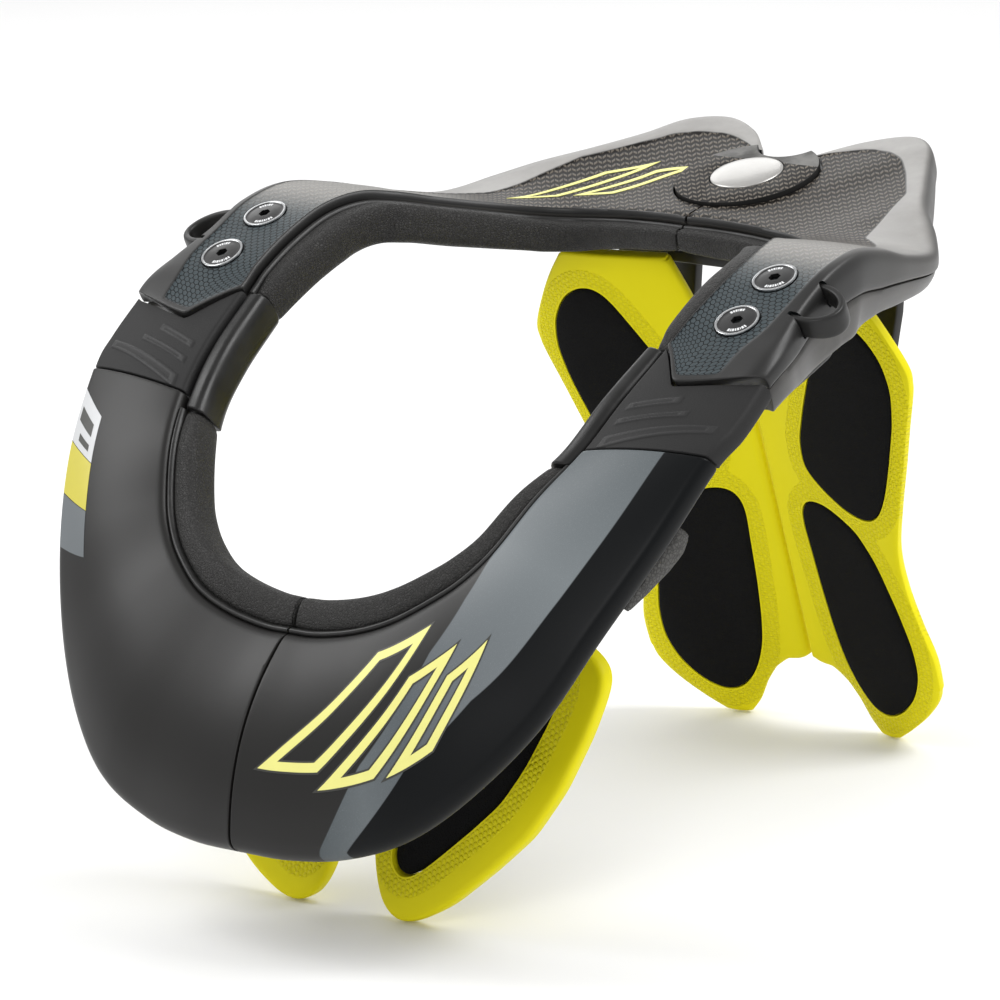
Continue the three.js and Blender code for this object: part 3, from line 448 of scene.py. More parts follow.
def rounded(points: Array, passes: int) -> Array:
    """Rings of points with their corners worn round, one step a pass."""
    for _ in range(passes):
        points = 0.5 * points + 0.25 * (np.roll(points, 1, 1) + np.roll(points, -1, 1))
    return points


def mirrored(obj: Piece, name: str) -> Piece:
    """Copy of a piece on the other side of the middle, its faces still outwards."""
    copy = bpy.data.objects.new(name, obj.data.copy())
    copy.data.name = name
    bpy.context.scene.collection.objects.link(copy)
    copy.data.transform(Matrix.Scale(-1, 4, (1, 0, 0)))
    copy.data.flip_normals()
    return copy


def turned_over(obj: Piece) -> Piece:
    """Moves a piece to the other side of the middle, under its own name."""
    name = obj.name
    other = mirrored(obj, name)
    bpy.data.objects.remove(obj)
    other.name = name
    return other


def cad_copy(node: str, name: str) -> Piece:
    """A merged copy of a CAD node's mesh, with its sharp edges rounded.

    Args:
        node: Name of the CAD node.
        name: Name of the piece.

    Returns:
        The new object.
    """
    copy = bpy.data.objects.new(name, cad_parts[node].data.copy())
    copy.data.name = name
    copy.data.materials.clear()
    bpy.context.scene.collection.objects.link(copy)
    edit(
        copy, merge_points(2e-5),
        lambda: bpy.ops.mesh.tris_convert_to_quads(face_threshold=0.6, shape_threshold=0.6),
    )
    soften(copy, 0.8 * MM, 3, 30)
    return shade(copy, 40)


def inflate(obj: Piece, pressure: float, reach: float) -> None:
    """Swells a soft piece with cloth under pressure and no gravity, and keeps the result.

    Args:
        obj: The piece, a closed mesh a little smaller than it ends.
        pressure: Air pressure inside.
        reach: How far any point may move.
    """
    rest = np.array([v.co for v in obj.data.vertices])
    select_only(obj)
    cloth = obj.modifiers.new("cloth", "CLOTH")
    cloth.settings.quality = 4
    cloth.settings.mass = 0.2
    cloth.settings.tension_stiffness = 12
    cloth.settings.compression_stiffness = 12
    cloth.settings.shear_stiffness = 6
    cloth.settings.bending_stiffness = 4
    cloth.settings.use_pressure = True
    cloth.settings.uniform_pressure_force = pressure
    cloth.settings.effector_weights.gravity = 0
    scene = bpy.context.scene
    for step in range(1, CLOTH_STEPS + 1):
        scene.frame_set(step)
    evaluated = obj.evaluated_get(bpy.context.evaluated_depsgraph_get())
    swollen = np.array([v.co for v in evaluated.data.vertices])
    obj.modifiers.remove(cloth)
    scene.frame_set(1)
    move = swollen - rest
    far = np.linalg.norm(move, axis=1, keepdims=True)
    move *= np.minimum(1, reach / np.maximum(far, 1e-9))
    obj.data.vertices.foreach_set("co", (rest + move).astype(np.float32).ravel())
    obj.data.update()


# Finishes


class Nodes:
    """Grows the node tree of one material."""

    def __init__(self, name: str) -> None:
        """Makes an empty material with one shader.

        Args:
            name: Name of the material.
        """
        self.material = bpy.data.materials.new(name)
        self.material.use_nodes = True
        self.tree = self.material.node_tree
        self.shader = self.tree.nodes["Principled BSDF"]

    def add(self, kind: str, inputs: dict[Any, Any] | None = None, **settings: Any) -> bpy.types.Node:
        """Adds a node.

        Args:
            kind: Blender's name for the node.
            inputs: Values or sockets by input name or number.
            settings: The node's own settings.

        Returns:
            The node.
        """
        node = self.tree.nodes.new(kind)
        for key, value in settings.items():
            setattr(node, key, value)
        for key, value in (inputs or {}).items():
            self.feed(node.inputs[key], value)
        return node

    def feed(self, socket: Socket, value: Any) -> None:
        """Links a socket to another, or gives it a value."""
        if isinstance(value, Socket):
            self.tree.links.new(value, socket)
        elif isinstance(value, tuple) and socket.type == "RGBA":
            socket.default_value = (*value[:3], 1)
        else:
            socket.default_value = value

    def place(self) -> Socket:
        """Object coordinates."""
        return self.add("ShaderNodeTexCoord").outputs["Object"]

    def uv(self, name: str) -> Socket:
        """A UV map of the piece."""
        return self.add("ShaderNodeUVMap", uv_map=name).outputs["UV"]

    def split(self, vector: Socket) -> tuple[Socket, ...]:
        """X, Y and Z of a vector."""
        return tuple(self.add("ShaderNodeSeparateXYZ", {0: vector}).outputs)

    def math(self, operation: str, a: Any, b: Any = 0.0) -> Socket:
        """Result of a sum."""
        return self.add("ShaderNodeMath", {0: a, 1: b}, operation=operation).outputs[0]

    def plus(self, a: Any, b: Any) -> Socket:
        """Sum of two values."""
        return self.math("ADD", a, b)

    def minus(self, a: Any, b: Any) -> Socket:
        """Difference of two values."""
        return self.math("SUBTRACT", a, b)

    def times(self, a: Any, b: Any) -> Socket:
        """Product of two values."""
        return self.math("MULTIPLY", a, b)

    def zigzag(self, value: Any) -> Socket:
        """A value that runs from 0.5 to 0 and back over each whole step."""
        return self.math("ABSOLUTE", self.minus(self.math("FRACT", value), 0.5))

    def step(self, value: Any, low: float, high: float) -> Socket:
        """Smooth step from 0 at low to 1 at high."""
        return self.add(
            "ShaderNodeMapRange",
            {"Value": value, "From Min": low, "From Max": high, "To Min": 0.0, "To Max": 1.0},
            interpolation_type="SMOOTHSTEP",
        ).outputs[0]

    def inside(self, distance: Any, blur: float = 0.3 * MM) -> Socket:
        """0 outside an outline and 1 inside it, from the distance into it."""
        return self.step(distance, -blur, blur)

    def scaled(self, value: Any, low: float, high: float) -> Socket:
        """A value from 0 to 1 spread from low to high."""
        return self.add("ShaderNodeMapRange", {"Value": value, "To Min": low, "To Max": high}).outputs[0]

    def around(self, value: Any, middle: float, spread: float) -> Socket:
        """A value from 0 to 1 spread this far to both sides of a middle."""
        return self.scaled(value, middle - spread, middle + spread)

    def noise(self, vector: Any, scale: float, detail: float = 3, rough: float = 0.55) -> Socket:
        """Noise from 0 to 1."""
        inputs = {"Vector": vector, "Scale": scale, "Detail": detail, "Roughness": rough}
        return self.add("ShaderNodeTexNoise", inputs).outputs[0]

    def cells(self, vector: Any, scale: float, feature: str = "F1", randomness: float = 1.0) -> Socket:
        """Distances in a cell pattern."""
        inputs = {"Vector": vector, "Scale": scale, "Randomness": randomness}
        return self.add("ShaderNodeTexVoronoi", inputs, feature=feature).outputs["Distance"]

    def mix(self, share: Any, a: Any, b: Any) -> Socket:
        """Colour between two."""
        node = self.add("ShaderNodeMix", data_type="RGBA")
        self.feed(node.inputs[0], share)
        self.feed(node.inputs[6], a)
        self.feed(node.inputs[7], b)
        return node.outputs[2]

    def ramp(self, value: Any, stops: Sequence[tuple[float, Colour]]) -> Socket:
        """Colour along a ramp."""
        node = self.add("ShaderNodeValToRGB", {0: value})
        elements = node.color_ramp.elements
        while len(elements) < len(stops):
            elements.new(0.5)
        for element, (position, colour) in zip(elements, stops):
            element.position = position
            element.color = (*colour, 1)
        return node.outputs[0]

    def bump(self, height: Any, distance: float, strength: float = 1.0, below: Any = None) -> Socket:
        """Normal with relief of this height in metres."""
        inputs: dict[Any, Any] = {"Height": height, "Distance": distance, "Strength": strength}
        if below is not None:
            inputs["Normal"] = below
        return self.add("ShaderNodeBump", inputs).outputs[0]

    def finish(self, **sockets: Any) -> Material:
        """Feeds the shader and returns the material.

        Args:
            sockets: Shader inputs, with _ for spaces.

        Returns:
            The material.
        """
        for key, value in sockets.items():
            self.feed(self.shader.inputs[key.replace("_", " ")], value)
        return self.material


@dataclass(frozen=True)
class SatinPlastic:
    """Moulded plastic with a fine spark-eroded grain, worn a little along its length."""

    name: str
    colour: Colour
    light: Colour
    roughness: float = 0.42
    grain: float = 2600
    relief: float = 0.00003
    blotch: float = 45

    def material(self) -> Material:
        """Builds the material."""
        n = Nodes(self.name)
        place = n.place()
        blotch = n.step(n.noise(place, self.blotch, 4, 0.6), 0.35, 0.75)
        fine = n.noise(place, self.grain, 2, 0.5)
        colour = n.mix(blotch, self.colour, self.light)
        rough = n.plus(n.around(blotch, self.roughness, 0.05), n.around(fine, 0, 0.03))
        return n.finish(Base_Color=colour, Roughness=rough, Specular_IOR_Level=0.32,
                        Normal=n.bump(fine, self.relief))


@dataclass(frozen=True)
class StripedShell:
    """Satin black shell with a grey band that runs along it and a cooler black outside the band."""

    name: str = "striped_shell"
    black: Colour = (0.0095, 0.009, 0.0085)
    cool: Colour = (0.0018, 0.0024, 0.003)
    dark_band: Colour = (0.075, 0.09, 0.098)
    fleck: Colour = (0.32, 0.35, 0.37)
    # Share of the shell's length from its front, and the band's colour there
    band_tones: tuple[tuple[float, Colour], ...] = (
        (0.18, (0.045, 0.056, 0.062)), (0.32, (0.11, 0.125, 0.133)), (0.42, (0.085, 0.098, 0.107)),
        (0.55, (0.13, 0.145, 0.155)), (0.78, (0.17, 0.19, 0.2)), (1.0, (0.085, 0.098, 0.105)),
    )
    striped: bool = True

    def material(self) -> Material:
        """Builds the material."""
        n = Nodes(self.name)
        place = n.place()
        fine = n.noise(place, 2800, 2, 0.5)
        haze = n.noise(place, 30, 3, 0.5)
        colour = n.mix(n.scaled(haze, 0.0, 0.5), self.black, tuple(1.25 * c for c in self.black))
        rough = n.plus(n.scaled(haze, 0.36, 0.44), n.around(fine, 0, 0.03))
        shine: Any = 0.3
        if self.striped:
            band, beyond = (n.inside(mark) for mark in n.split(n.uv("marks"))[:2])
            along, across, _ = n.split(n.uv("rows"))
            tone = n.ramp(n.times(along, 1 / SHELL_END), self.band_tones)
            tone = n.mix(n.scaled(across, 0.35, 0.0), tone, self.dark_band)
            colour = n.mix(band, n.mix(beyond, colour, self.cool), tone)
            speck = n.step(n.noise(place, 5200, 1, 0.5), 0.62, 0.75)
            colour = n.mix(n.times(speck, n.times(band, 0.35)), colour, self.fleck)
            shine = n.scaled(beyond, 0.3, 0.14)
        return n.finish(Base_Color=colour, Roughness=rough, Specular_IOR_Level=shine,
                        Normal=n.bump(fine, 0.025 * MM))


@dataclass(frozen=True)
class ReliefRubber:
    """Matt black rubber whose raised bands are a shade lighter than its ground."""

    name: str = "relief_rubber"
    ground: Colour = (0.0085, 0.0085, 0.0088)
    raised: Colour = (0.017, 0.017, 0.0175)

    def material(self) -> Material:
        """Builds the material."""
        n = Nodes(self.name)
        place = n.place()
        height, _, _ = n.split(n.uv("marks"))
        lift = n.step(height, 0.2, 0.8)
        fine = n.noise(place, 1900, 3, 0.6)
        weave = n.cells(place, 1500, "F1", 0.6)
        colour = n.mix(lift, self.ground, self.raised)
        colour = n.mix(n.scaled(n.noise(place, 60, 3, 0.5), 0.0, 0.35), colour, (0.022, 0.021, 0.02))
        relief = n.bump(n.plus(fine, weave), 0.05 * MM)
        rough = n.plus(n.scaled(lift, 0.62, 0.5), n.scaled(fine, -0.05, 0.05))
        return n.finish(Base_Color=colour, Roughness=rough, Specular_IOR_Level=0.3, Normal=relief)


@dataclass(frozen=True)
class PatternedFrame:
    """Rear frame: six-sided cells on the arm, woven dashes behind it, and satin rims round both, with painted
    highlights on the crest and rear rims and painted shade on the front rims and walls.
    """

    name: str = "patterned_frame"
    cell: float = 2.6 * MM
    dash: float = 1.7 * MM
    dash_run: float = 4.2 * MM
    weave_turn: float = 40
    cell_dark: Colour = (0.006, 0.008, 0.009)
    cell_face: Colour = (0.05, 0.063, 0.069)
    weave_dark: Colour = (0.0042, 0.0034, 0.0028)
    weave_light: Colour = (0.17, 0.148, 0.122)
    rim: Colour = (0.085, 0.083, 0.08)
    # Painted highlights along the arm's crest, on the cells and on the weave
    cell_crest_highlight: Colour = (0.36, 0.37, 0.37)
    weave_crest_highlight: Colour = (0.42, 0.41, 0.39)
    # Painted highlight on the rims toward the rear
    rim_highlight: Colour = (0.29, 0.282, 0.27)
    # Painted shade on the side wall, the front rims and the neck edge; the rear wall is painted a little
    # lighter where more light falls
    wall: Colour = (0.011, 0.0108, 0.0105)
    rear_wall: Colour = (0.045, 0.043, 0.04)
    groove: Colour = (0.004, 0.004, 0.004)

    def cell_edges(self, n: Nodes, flat: Any) -> Socket:
        """0 on the lines between six-sided cells and up to 0.5 at their middles.

        Args:
            n: The material's nodes.
            flat: Length and width over the surface, in metres.

        Returns:
            The distance from the lines, as a share of a cell.
        """
        root = math.sqrt(3)
        x, y, _ = n.split(flat)
        x, y = n.math("DIVIDE", x, self.cell), n.math("DIVIDE", y, self.cell)
        nearest = []
        for move in (0.0, 0.5):
            dx = n.minus(n.math("FLOORED_MODULO", n.plus(x, move), 1.0), 0.5)
            dy = n.minus(n.math("FLOORED_MODULO", n.plus(y, move * root), root), root / 2)
            ax, ay = n.math("ABSOLUTE", dx), n.math("ABSOLUTE", dy)
            slant = n.plus(n.times(ax, 0.5), n.times(ay, root / 2))
            nearest.append(n.math("MAXIMUM", ax, slant))
        return n.minus(0.5, n.math("MINIMUM", *nearest))

    def dashes(self, n: Nodes, place: Any) -> Socket:
        """1 on the short slanted dashes of the weave, which stand in columns across the plate's corner.

        Args:
            n: The material's nodes.
            place: Object coordinates.

        Returns:
            The dashes.
        """
        x, y, _ = n.split(place)
        turn = math.radians(self.weave_turn)
        cos, sin = math.cos(turn), math.sin(turn)
        side = n.plus(n.times(x, cos), n.times(y, sin))
        deep = n.minus(n.times(y, cos), n.times(x, sin))
        column = n.math("DIVIDE", side, self.dash)
        odd = n.math("FLOORED_MODULO", n.math("FLOOR", column), 2.0)
        inside = n.minus(n.math("FRACT", column), 0.5)
        slant = n.times(n.times(inside, n.minus(n.times(odd, 2.0), 1.0)), 0.5)
        wave = n.zigzag(n.plus(n.math("DIVIDE", deep, self.dash_run), slant))
        long_enough = n.step(n.math("ABSOLUTE", inside), 0.46, 0.3)
        return n.times(n.step(wave, 0.3, 0.12), long_enough)

    def material(self) -> Material:
        """Builds the material."""
        n = Nodes(self.name)
        place = n.place()
        panel, wall, _ = n.split(n.uv("marks"))
        along, station, _ = n.split(n.uv("rows"))
        inside = n.inside(panel, 0.12 * MM)
        behind = n.step(along, 3.4, 4.8)
        # Where the painted highlight lies along the arm's crest
        crest_highlight = n.times(n.step(along, 3.0, 4.6), n.step(along, 8.2, 6.4))
        face = n.step(self.cell_edges(n, n.uv("flat")), 0.05, 0.13)
        cells = n.mix(face, self.cell_dark, self.cell_face)
        cells = n.mix(n.times(crest_highlight, 0.35), cells, self.cell_crest_highlight)
        dash = self.dashes(n, place)
        haze = n.noise(place, 35, 3, 0.55)
        ground = n.mix(haze, self.weave_dark, tuple(1.7 * c for c in self.weave_dark))
        weave = n.mix(n.times(dash, n.scaled(haze, 0.45, 0.85)), ground, self.weave_light)
        weave = n.mix(n.times(crest_highlight, 0.45), weave, self.weave_crest_highlight)
        # The rims' tones are painted light: a painted highlight growing toward the rear, broken by random
        # blotches, and painted shade on the front rims, the neck edge and the side wall
        blotch = n.step(n.noise(place, 70, 5, 0.65), 0.35, 0.72)
        rear_rim_sheen = n.times(n.scaled(blotch, 0.8, 1.0), n.step(along, 4.6, 8.5))
        rim = n.mix(rear_rim_sheen, self.rim, self.rim_highlight)
        rim = n.mix(n.step(along, 3.6, 5.4), self.wall, rim)
        rim = n.mix(n.step(station, 0.09, 0.06), rim, self.wall)
        side = n.mix(n.step(along, 4.5, 8.0), self.wall, self.rear_wall)
        rim = n.mix(n.step(wall, 0.05, 0.5), rim, side)
        line = n.times(n.step(panel, -0.7 * MM, -0.2 * MM), n.step(panel, 0.4 * MM, -0.1 * MM))
        colour = n.mix(inside, rim, n.mix(behind, cells, weave))
        colour = n.mix(n.times(line, 0.75), colour, self.groove)
        fine = n.noise(place, 2400, 2, 0.5)
        relief = n.times(n.mix(behind, face, dash), inside)
        rough = n.plus(n.scaled(inside, 0.4, 0.33), n.scaled(fine, -0.04, 0.05))
        return n.finish(Base_Color=colour, Roughness=rough, Specular_IOR_Level=n.scaled(inside, 0.4, 0.1),
                        Normal=n.bump(fine, 0.025 * MM, below=n.bump(relief, 0.12 * MM)))


@dataclass(frozen=True)
class WovenPlate:
    """The hub's plate, with the rear frame's weave on object coordinates and a satin rear edge."""

    name: str = "woven_plate"
    ground: Colour = PatternedFrame.weave_dark
    light: Colour = PatternedFrame.weave_light
    rim: Colour = (0.16, 0.157, 0.15)
    rim_from: float = 0.1415

    def material(self) -> Material:
        """Builds the material."""
        n = Nodes(self.name)
        place = n.place()
        dash = PatternedFrame().dashes(n, place)
        haze = n.noise(place, 60, 3, 0.5)
        colour = n.mix(n.times(dash, n.scaled(haze, 0.5, 0.9)), self.ground, self.light)
        blotch = n.step(n.noise(place, 90, 4, 0.6), 0.3, 0.7)
        rim = n.mix(blotch, tuple(0.35 * c for c in self.rim), self.rim)
        back = n.step(n.split(place)[1], self.rim_from, self.rim_from + 0.6 * MM)
        fine = n.noise(place, 2400, 2, 0.5)
        low = n.bump(n.times(dash, n.minus(1.0, back)), 0.06 * MM)
        return n.finish(Base_Color=n.mix(back, colour, rim), Roughness=n.scaled(fine, 0.4, 0.52),
                        Specular_IOR_Level=0.1, Normal=n.bump(fine, 0.02 * MM, below=low))


@dataclass(frozen=True)
class GrainedPadding:
    """Soft dark covering with a leathery grain of small cells and creases."""

    name: str = "grained_padding"
    colour: Colour = (0.0105, 0.0101, 0.0097)
    light: Colour = (0.032, 0.0305, 0.0285)
    grain: float = 900
    roughness: float = 0.5
    relief: float = 0.00034

    def material(self) -> Material:
        """Builds the material."""
        n = Nodes(self.name)
        place = n.place()
        wander = n.noise(place, 380, 3, 0.6)
        pebble = n.step(n.cells(place, self.grain, "DISTANCE_TO_EDGE"), 0.0, 0.22)
        coarse = n.step(n.cells(place, self.grain * 0.45, "DISTANCE_TO_EDGE"), 0.0, 0.12)
        height = n.plus(n.times(pebble, 0.6), n.plus(n.times(coarse, 0.5), wander))
        colour = n.mix(n.times(pebble, n.scaled(wander, 0.1, 0.9)), self.colour, self.light)
        rough = n.scaled(n.noise(place, 800, 2, 0.5), self.roughness - 0.08, self.roughness + 0.12)
        return n.finish(Base_Color=colour, Roughness=rough, Specular_IOR_Level=0.3,
                        Normal=n.bump(height, self.relief, 0.8))


@dataclass(frozen=True)
class Moulding:
    """Soft bright moulding with a knurled band round its foams and a faint haze elsewhere."""

    name: str = "bright_moulding"
    colour: Colour = (0.8, 0.715, 0.003)
    # Deeper tone for the random haze, also used as painted shade in the knurl's valleys
    deep: Colour = (0.66, 0.585, 0.003)
    pitch: float = 1.9 * MM
    band: tuple[float, float] = (1.0 * MM, 8.0 * MM)
    band_blur: float = 0.6 * MM

    def material(self) -> Material:
        """Builds the material."""
        n = Nodes(self.name)
        place = n.place()
        distance, _, _ = n.split(n.uv("marks"))
        x, _, z = n.split(place)
        waves = []
        for turn in map(math.radians, (0, 60, 120)):
            run = n.plus(n.times(x, math.cos(turn) / self.pitch), n.times(z, math.sin(turn) / self.pitch))
            waves.append(n.zigzag(run))
        knurl = n.plus(n.plus(waves[0], waves[1]), waves[2])
        start, stop = self.band
        band = n.times(n.step(distance, start, start + self.band_blur),
                       n.step(distance, stop, stop - self.band_blur))
        height = n.times(n.step(knurl, 0.45, 1.0), band)
        haze = n.noise(place, 28, 4, 0.55)
        fine = n.noise(place, 1500, 2, 0.5)
        colour = n.mix(n.scaled(haze, 0.0, 0.35), self.colour, self.deep)
        # Painted shade in the knurl's valleys
        valley_shade = n.times(n.step(knurl, 0.75, 0.5), band)
        colour = n.mix(n.times(valley_shade, 0.3), colour, self.deep)
        return n.finish(Base_Color=colour, Roughness=n.scaled(haze, 0.45, 0.58), Specular_IOR_Level=0.16,
                        Normal=n.bump(fine, 0.02 * MM, below=n.bump(height, 0.4 * MM)))


@dataclass(frozen=True)
class Foam:
    """Matt black foam with fine open pores."""

    name: str = "matt_foam"
    colour: Colour = (0.0028, 0.0028, 0.003)
    light: Colour = (0.0085, 0.0085, 0.0088)

    def material(self) -> Material:
        """Builds the material."""
        n = Nodes(self.name)
        place = n.place()
        pores = n.step(n.cells(place, 1400), 0.1, 0.55)
        haze = n.noise(place, 55, 4, 0.6)
        colour = n.mix(n.times(pores, haze), self.colour, self.light)
        return n.finish(Base_Color=colour, Roughness=n.scaled(haze, 0.82, 0.95), Specular_IOR_Level=0.12,
                        Normal=n.bump(pores, 0.00018, 0.7))


@dataclass(frozen=True)
class Metal:
    """Metal or bright lacquer with fine lathe lines and handling marks."""

    name: str
    colour: Colour
    roughness: float = 0.22
    metallic: float = 1.0
    coat: float = 0.0

    def material(self) -> Material:
        """Builds the material."""
        n = Nodes(self.name)
        place = n.place()
        marks = n.noise(place, 420, 5, 0.7)
        cloud = n.noise(place, 90, 3, 0.5)
        colour = n.mix(n.scaled(cloud, 0.0, 0.4), self.colour, tuple(0.55 * c for c in self.colour))
        rough = n.scaled(marks, self.roughness - 0.08, self.roughness + 0.12)
        return n.finish(Base_Color=colour, Roughness=rough, Metallic=self.metallic, Coat_Weight=self.coat,
                        Normal=n.bump(marks, 0.00002))


@dataclass(frozen=True)
class Lacquer:
    """Printed colour on a thin film, a little uneven."""

    name: str
    colour: Colour
    roughness: float = 0.4

    def material(self) -> Material:
        """Builds the material."""
        n = Nodes(self.name)
        place = n.place()
        haze = n.noise(place, 160, 4, 0.6)
        fine = n.noise(place, 2800, 2, 0.5)
        colour = n.mix(n.scaled(haze, 0.0, 0.5), self.colour, tuple(0.82 * c for c in self.colour))
        return n.finish(Base_Color=colour, Roughness=n.around(haze, self.roughness, 0.05),
                        Normal=n.bump(fine, 0.02 * MM))


class Palette:
    """The brace's materials, made once each."""

    def __init__(self) -> None:
        """Builds every material."""
        self.shell_striped = StripedShell().material()
        self.shell_plain = StripedShell("plain_shell", striped=False).material()
        self.rubber = ReliefRubber().material()
        self.frame = PatternedFrame().material()
        self.hub = WovenPlate().material()
        self.padding = GrainedPadding().material()
        self.under = GrainedPadding(
            "speckled_padding", (0.035, 0.034, 0.032), (0.12, 0.118, 0.112), 700, 0.6, 0.25 * MM
        ).material()
        self.shoulder = GrainedPadding(
            "smooth_padding", (0.009, 0.0088, 0.0085), (0.017, 0.0165, 0.016), 1300, 0.42, 0.06 * MM
        ).material()
        self.piping = SatinPlastic(
            "glossy_piping", (0.012, 0.0118, 0.0115), (0.02, 0.0195, 0.019), 0.38, 1800, 0.02 * MM, 300
        ).material()
        self.lower = SatinPlastic(
            "grey_shell", (0.03, 0.0285, 0.0265), (0.062, 0.059, 0.055), 0.36, 2400, 0.03 * MM, 60
        ).material()
        self.plastic = SatinPlastic(
            "black_plastic", (0.0105, 0.0103, 0.01), (0.016, 0.0157, 0.0152)
        ).material()
        self.trim = SatinPlastic(
            "satin_trim", (0.0085, 0.0084, 0.0082), (0.0125, 0.0123, 0.012), 0.34, 2600, 0.02 * MM, 70
        ).material()
        self.yellow = Moulding().material()
        self.foam = Foam().material()
        self.bolt = Metal("black_screw", (0.006, 0.006, 0.0063), 0.3, 0.0, 0.15).material()
        self.rim = Metal("polished_rim", (0.62, 0.63, 0.64), 0.14).material()
        self.badge = Metal("pearl_badge", (0.5, 0.49, 0.47), 0.3, 0.7, 0.3).material()
        self.mark = Lacquer("white_print", (0.72, 0.73, 0.74)).material()
        self.pale = Lacquer("pale_yellow_print", (0.8, 0.77, 0.24)).material()
        self.outline = Lacquer("dark_print", (0.035, 0.035, 0.03)).material()
        self.label_white = Lacquer("label_white", (0.6, 0.61, 0.62), 0.3).material()
        self.label_yellow = Lacquer("label_yellow", (0.6, 0.53, 0.055), 0.3).material()
        self.label_grey = Lacquer("label_grey", (0.13, 0.145, 0.155), 0.3).material()


def dress(
    obj: Piece,
    body: str,
    material: Material | Sequence[Material],
    slot: str,
    replaced: Sequence[str] = (),
) -> Piece:
    """Gives a piece its material and body, and hides the CAD nodes that it stands for.

    Args:
        obj: The finished piece.
        body: Name of the body that it rides on.
        material: One material, or one for each of the mesh's material numbers.
        slot: Slot of the record's materials; not used.
        replaced: CAD nodes that it stands for.

    Returns:
        The piece.
    """
    materials = [material] if isinstance(material, Material) else list(material)
    numbers = np.zeros(len(obj.data.polygons), np.int32)
    if len(materials) > 1:
        obj.data.polygons.foreach_get("material_index", numbers)
    obj.data.materials.clear()
    for item in materials:
        obj.data.materials.append(item)
    obj.data.polygons.foreach_set("material_index", numbers)
    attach(obj, body)
    if replaced:
        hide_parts(*replaced)
    LOG.info("%s rides on %s, %d faces", obj.name, body, len(obj.data.polygons))
    return obj


def dress_pair(
    obj: Piece, material: Material, slot: str, node: str | None = None
) -> None:
    """Dresses a piece of the left half and its mirrored copy on the right half.

    Args:
        obj: The left piece, with its side in its name.
        material: Material of both.
        slot: Slot of the record's materials; not used.
        node: The CAD nodes that they stand for, without the side.
    """
    other = mirrored(obj, obj.name.replace("left", "right"))
    for piece, side in ((obj, Side.LEFT), (other, Side.RIGHT)):
        dress(piece, side.body, material, slot, [f"{node}_{side.value}"] if node else ())


# Collar sections


def flat_lengths(points: Array) -> Array:
    """Length along and width across a sheet of points, from its first row and first column.

    Args:
        points: Rows by columns of points.

    Returns:
        Rows by columns of pairs, in metres.
    """
    middle = points[:, points.shape[1] // 2]
    run = np.concatenate([[0], np.cumsum(np.linalg.norm(np.diff(middle, axis=0), axis=-1))])
    wide = np.concatenate(
        [np.zeros((len(points), 1)), np.cumsum(np.linalg.norm(np.diff(points, axis=1), axis=-1), 1)], 1
    )
    return np.stack([wide, np.broadcast_to(run[:, None], wide.shape)], -1)


@dataclass(frozen=True)
class BibSection:
    """Section of the bib and the flexible panel."""

    thickness: float = 8.5 * MM
    crown: float = 9 * MM
    lip: float = 3 * MM
    columns: int = 64
    wear: int = 5

    def top(self, place: Array, share: Array, rise: float | Array = 0.0) -> Array:
        """Points of the outer face at places and shares across.

        Args:
            place: Fractional rows.
            share: Shares across, 0 at the neck.
            rise: Height over the face.

        Returns:
            The points.
        """
        rows = BIB.frame(place)
        share = np.asarray(share, float)
        bulge = BIB.column(6, place) * self.crown * 4 * share * (1 - share)
        t = share[..., None]
        return rows.inner * (1 - t) + rows.outer * t + rows.normal * (bulge + rise)[..., None]

    def rings(self, place: Array, sink: float, relief: Array | None = None) -> tuple[Array, Array]:
        """Rings round the section at each place.

        Args:
            place: Fractional rows.
            sink: How far the face lies below the shell's.
            relief: Height of a pattern over the face, rows by columns.

        Returns:
            The rings, and each point's place and share across.
        """
        rows = BIB.frame(place)
        bend = BIB.column(6, place) * self.crown
        shares = np.linspace(0, 1, self.columns)

        def face(share: float, rise: Array) -> Array:
            """Points at a share across, this far over the straight face."""
            return rows.inner * (1 - share) + rows.outer * share + rows.normal * rise[:, None]

        bulge = [bend * 4 * s * (1 - s) for s in shares]
        upper = [face(s, b - sink) for s, b in zip(shares, bulge)]
        under = [face(s, 0.6 * b - self.thickness) for s, b in zip(shares, bulge)]
        lip_top = upper[-1] + rows.across * 0.3 * self.lip - rows.normal * self.lip
        lip_low = under[-1] + rows.across * 0.2 * self.lip
        edge_top = upper[0] - rows.normal * 0.2 * self.lip
        inner = [edge_top * (1 - k) + under[0] * k for k in (0.42, 0.2)]
        outer = [lip_top * (1 - k) + lip_low * k for k in (0.0, 0.2, 0.42)]
        half = [*inner, *upper, *outer]
        inner_low = [edge_top * (1 - k) + under[0] * k for k in (0.58, 0.8)]
        outer_low = [lip_top * (1 - k) + lip_low * k for k in (1.0, 0.8, 0.58)]
        other = [*inner_low, *under, *outer_low]
        ring = rounded(np.stack([*half, *other[::-1]], 1), self.wear)
        if relief is not None:
            ring[:, 2 : 2 + self.columns] += rows.normal[:, None] * relief[..., None]
        ring[..., 0] = np.maximum(ring[..., 0], SEAM)
        spread = np.concatenate([[0, 0], shares, [1, 1, 1]])
        spread = np.concatenate([spread, spread[::-1]])
        grid = np.stack(np.broadcast_arrays(place[:, None], spread[None]), -1)
        return ring, grid


BIB_SECTION = BibSection()


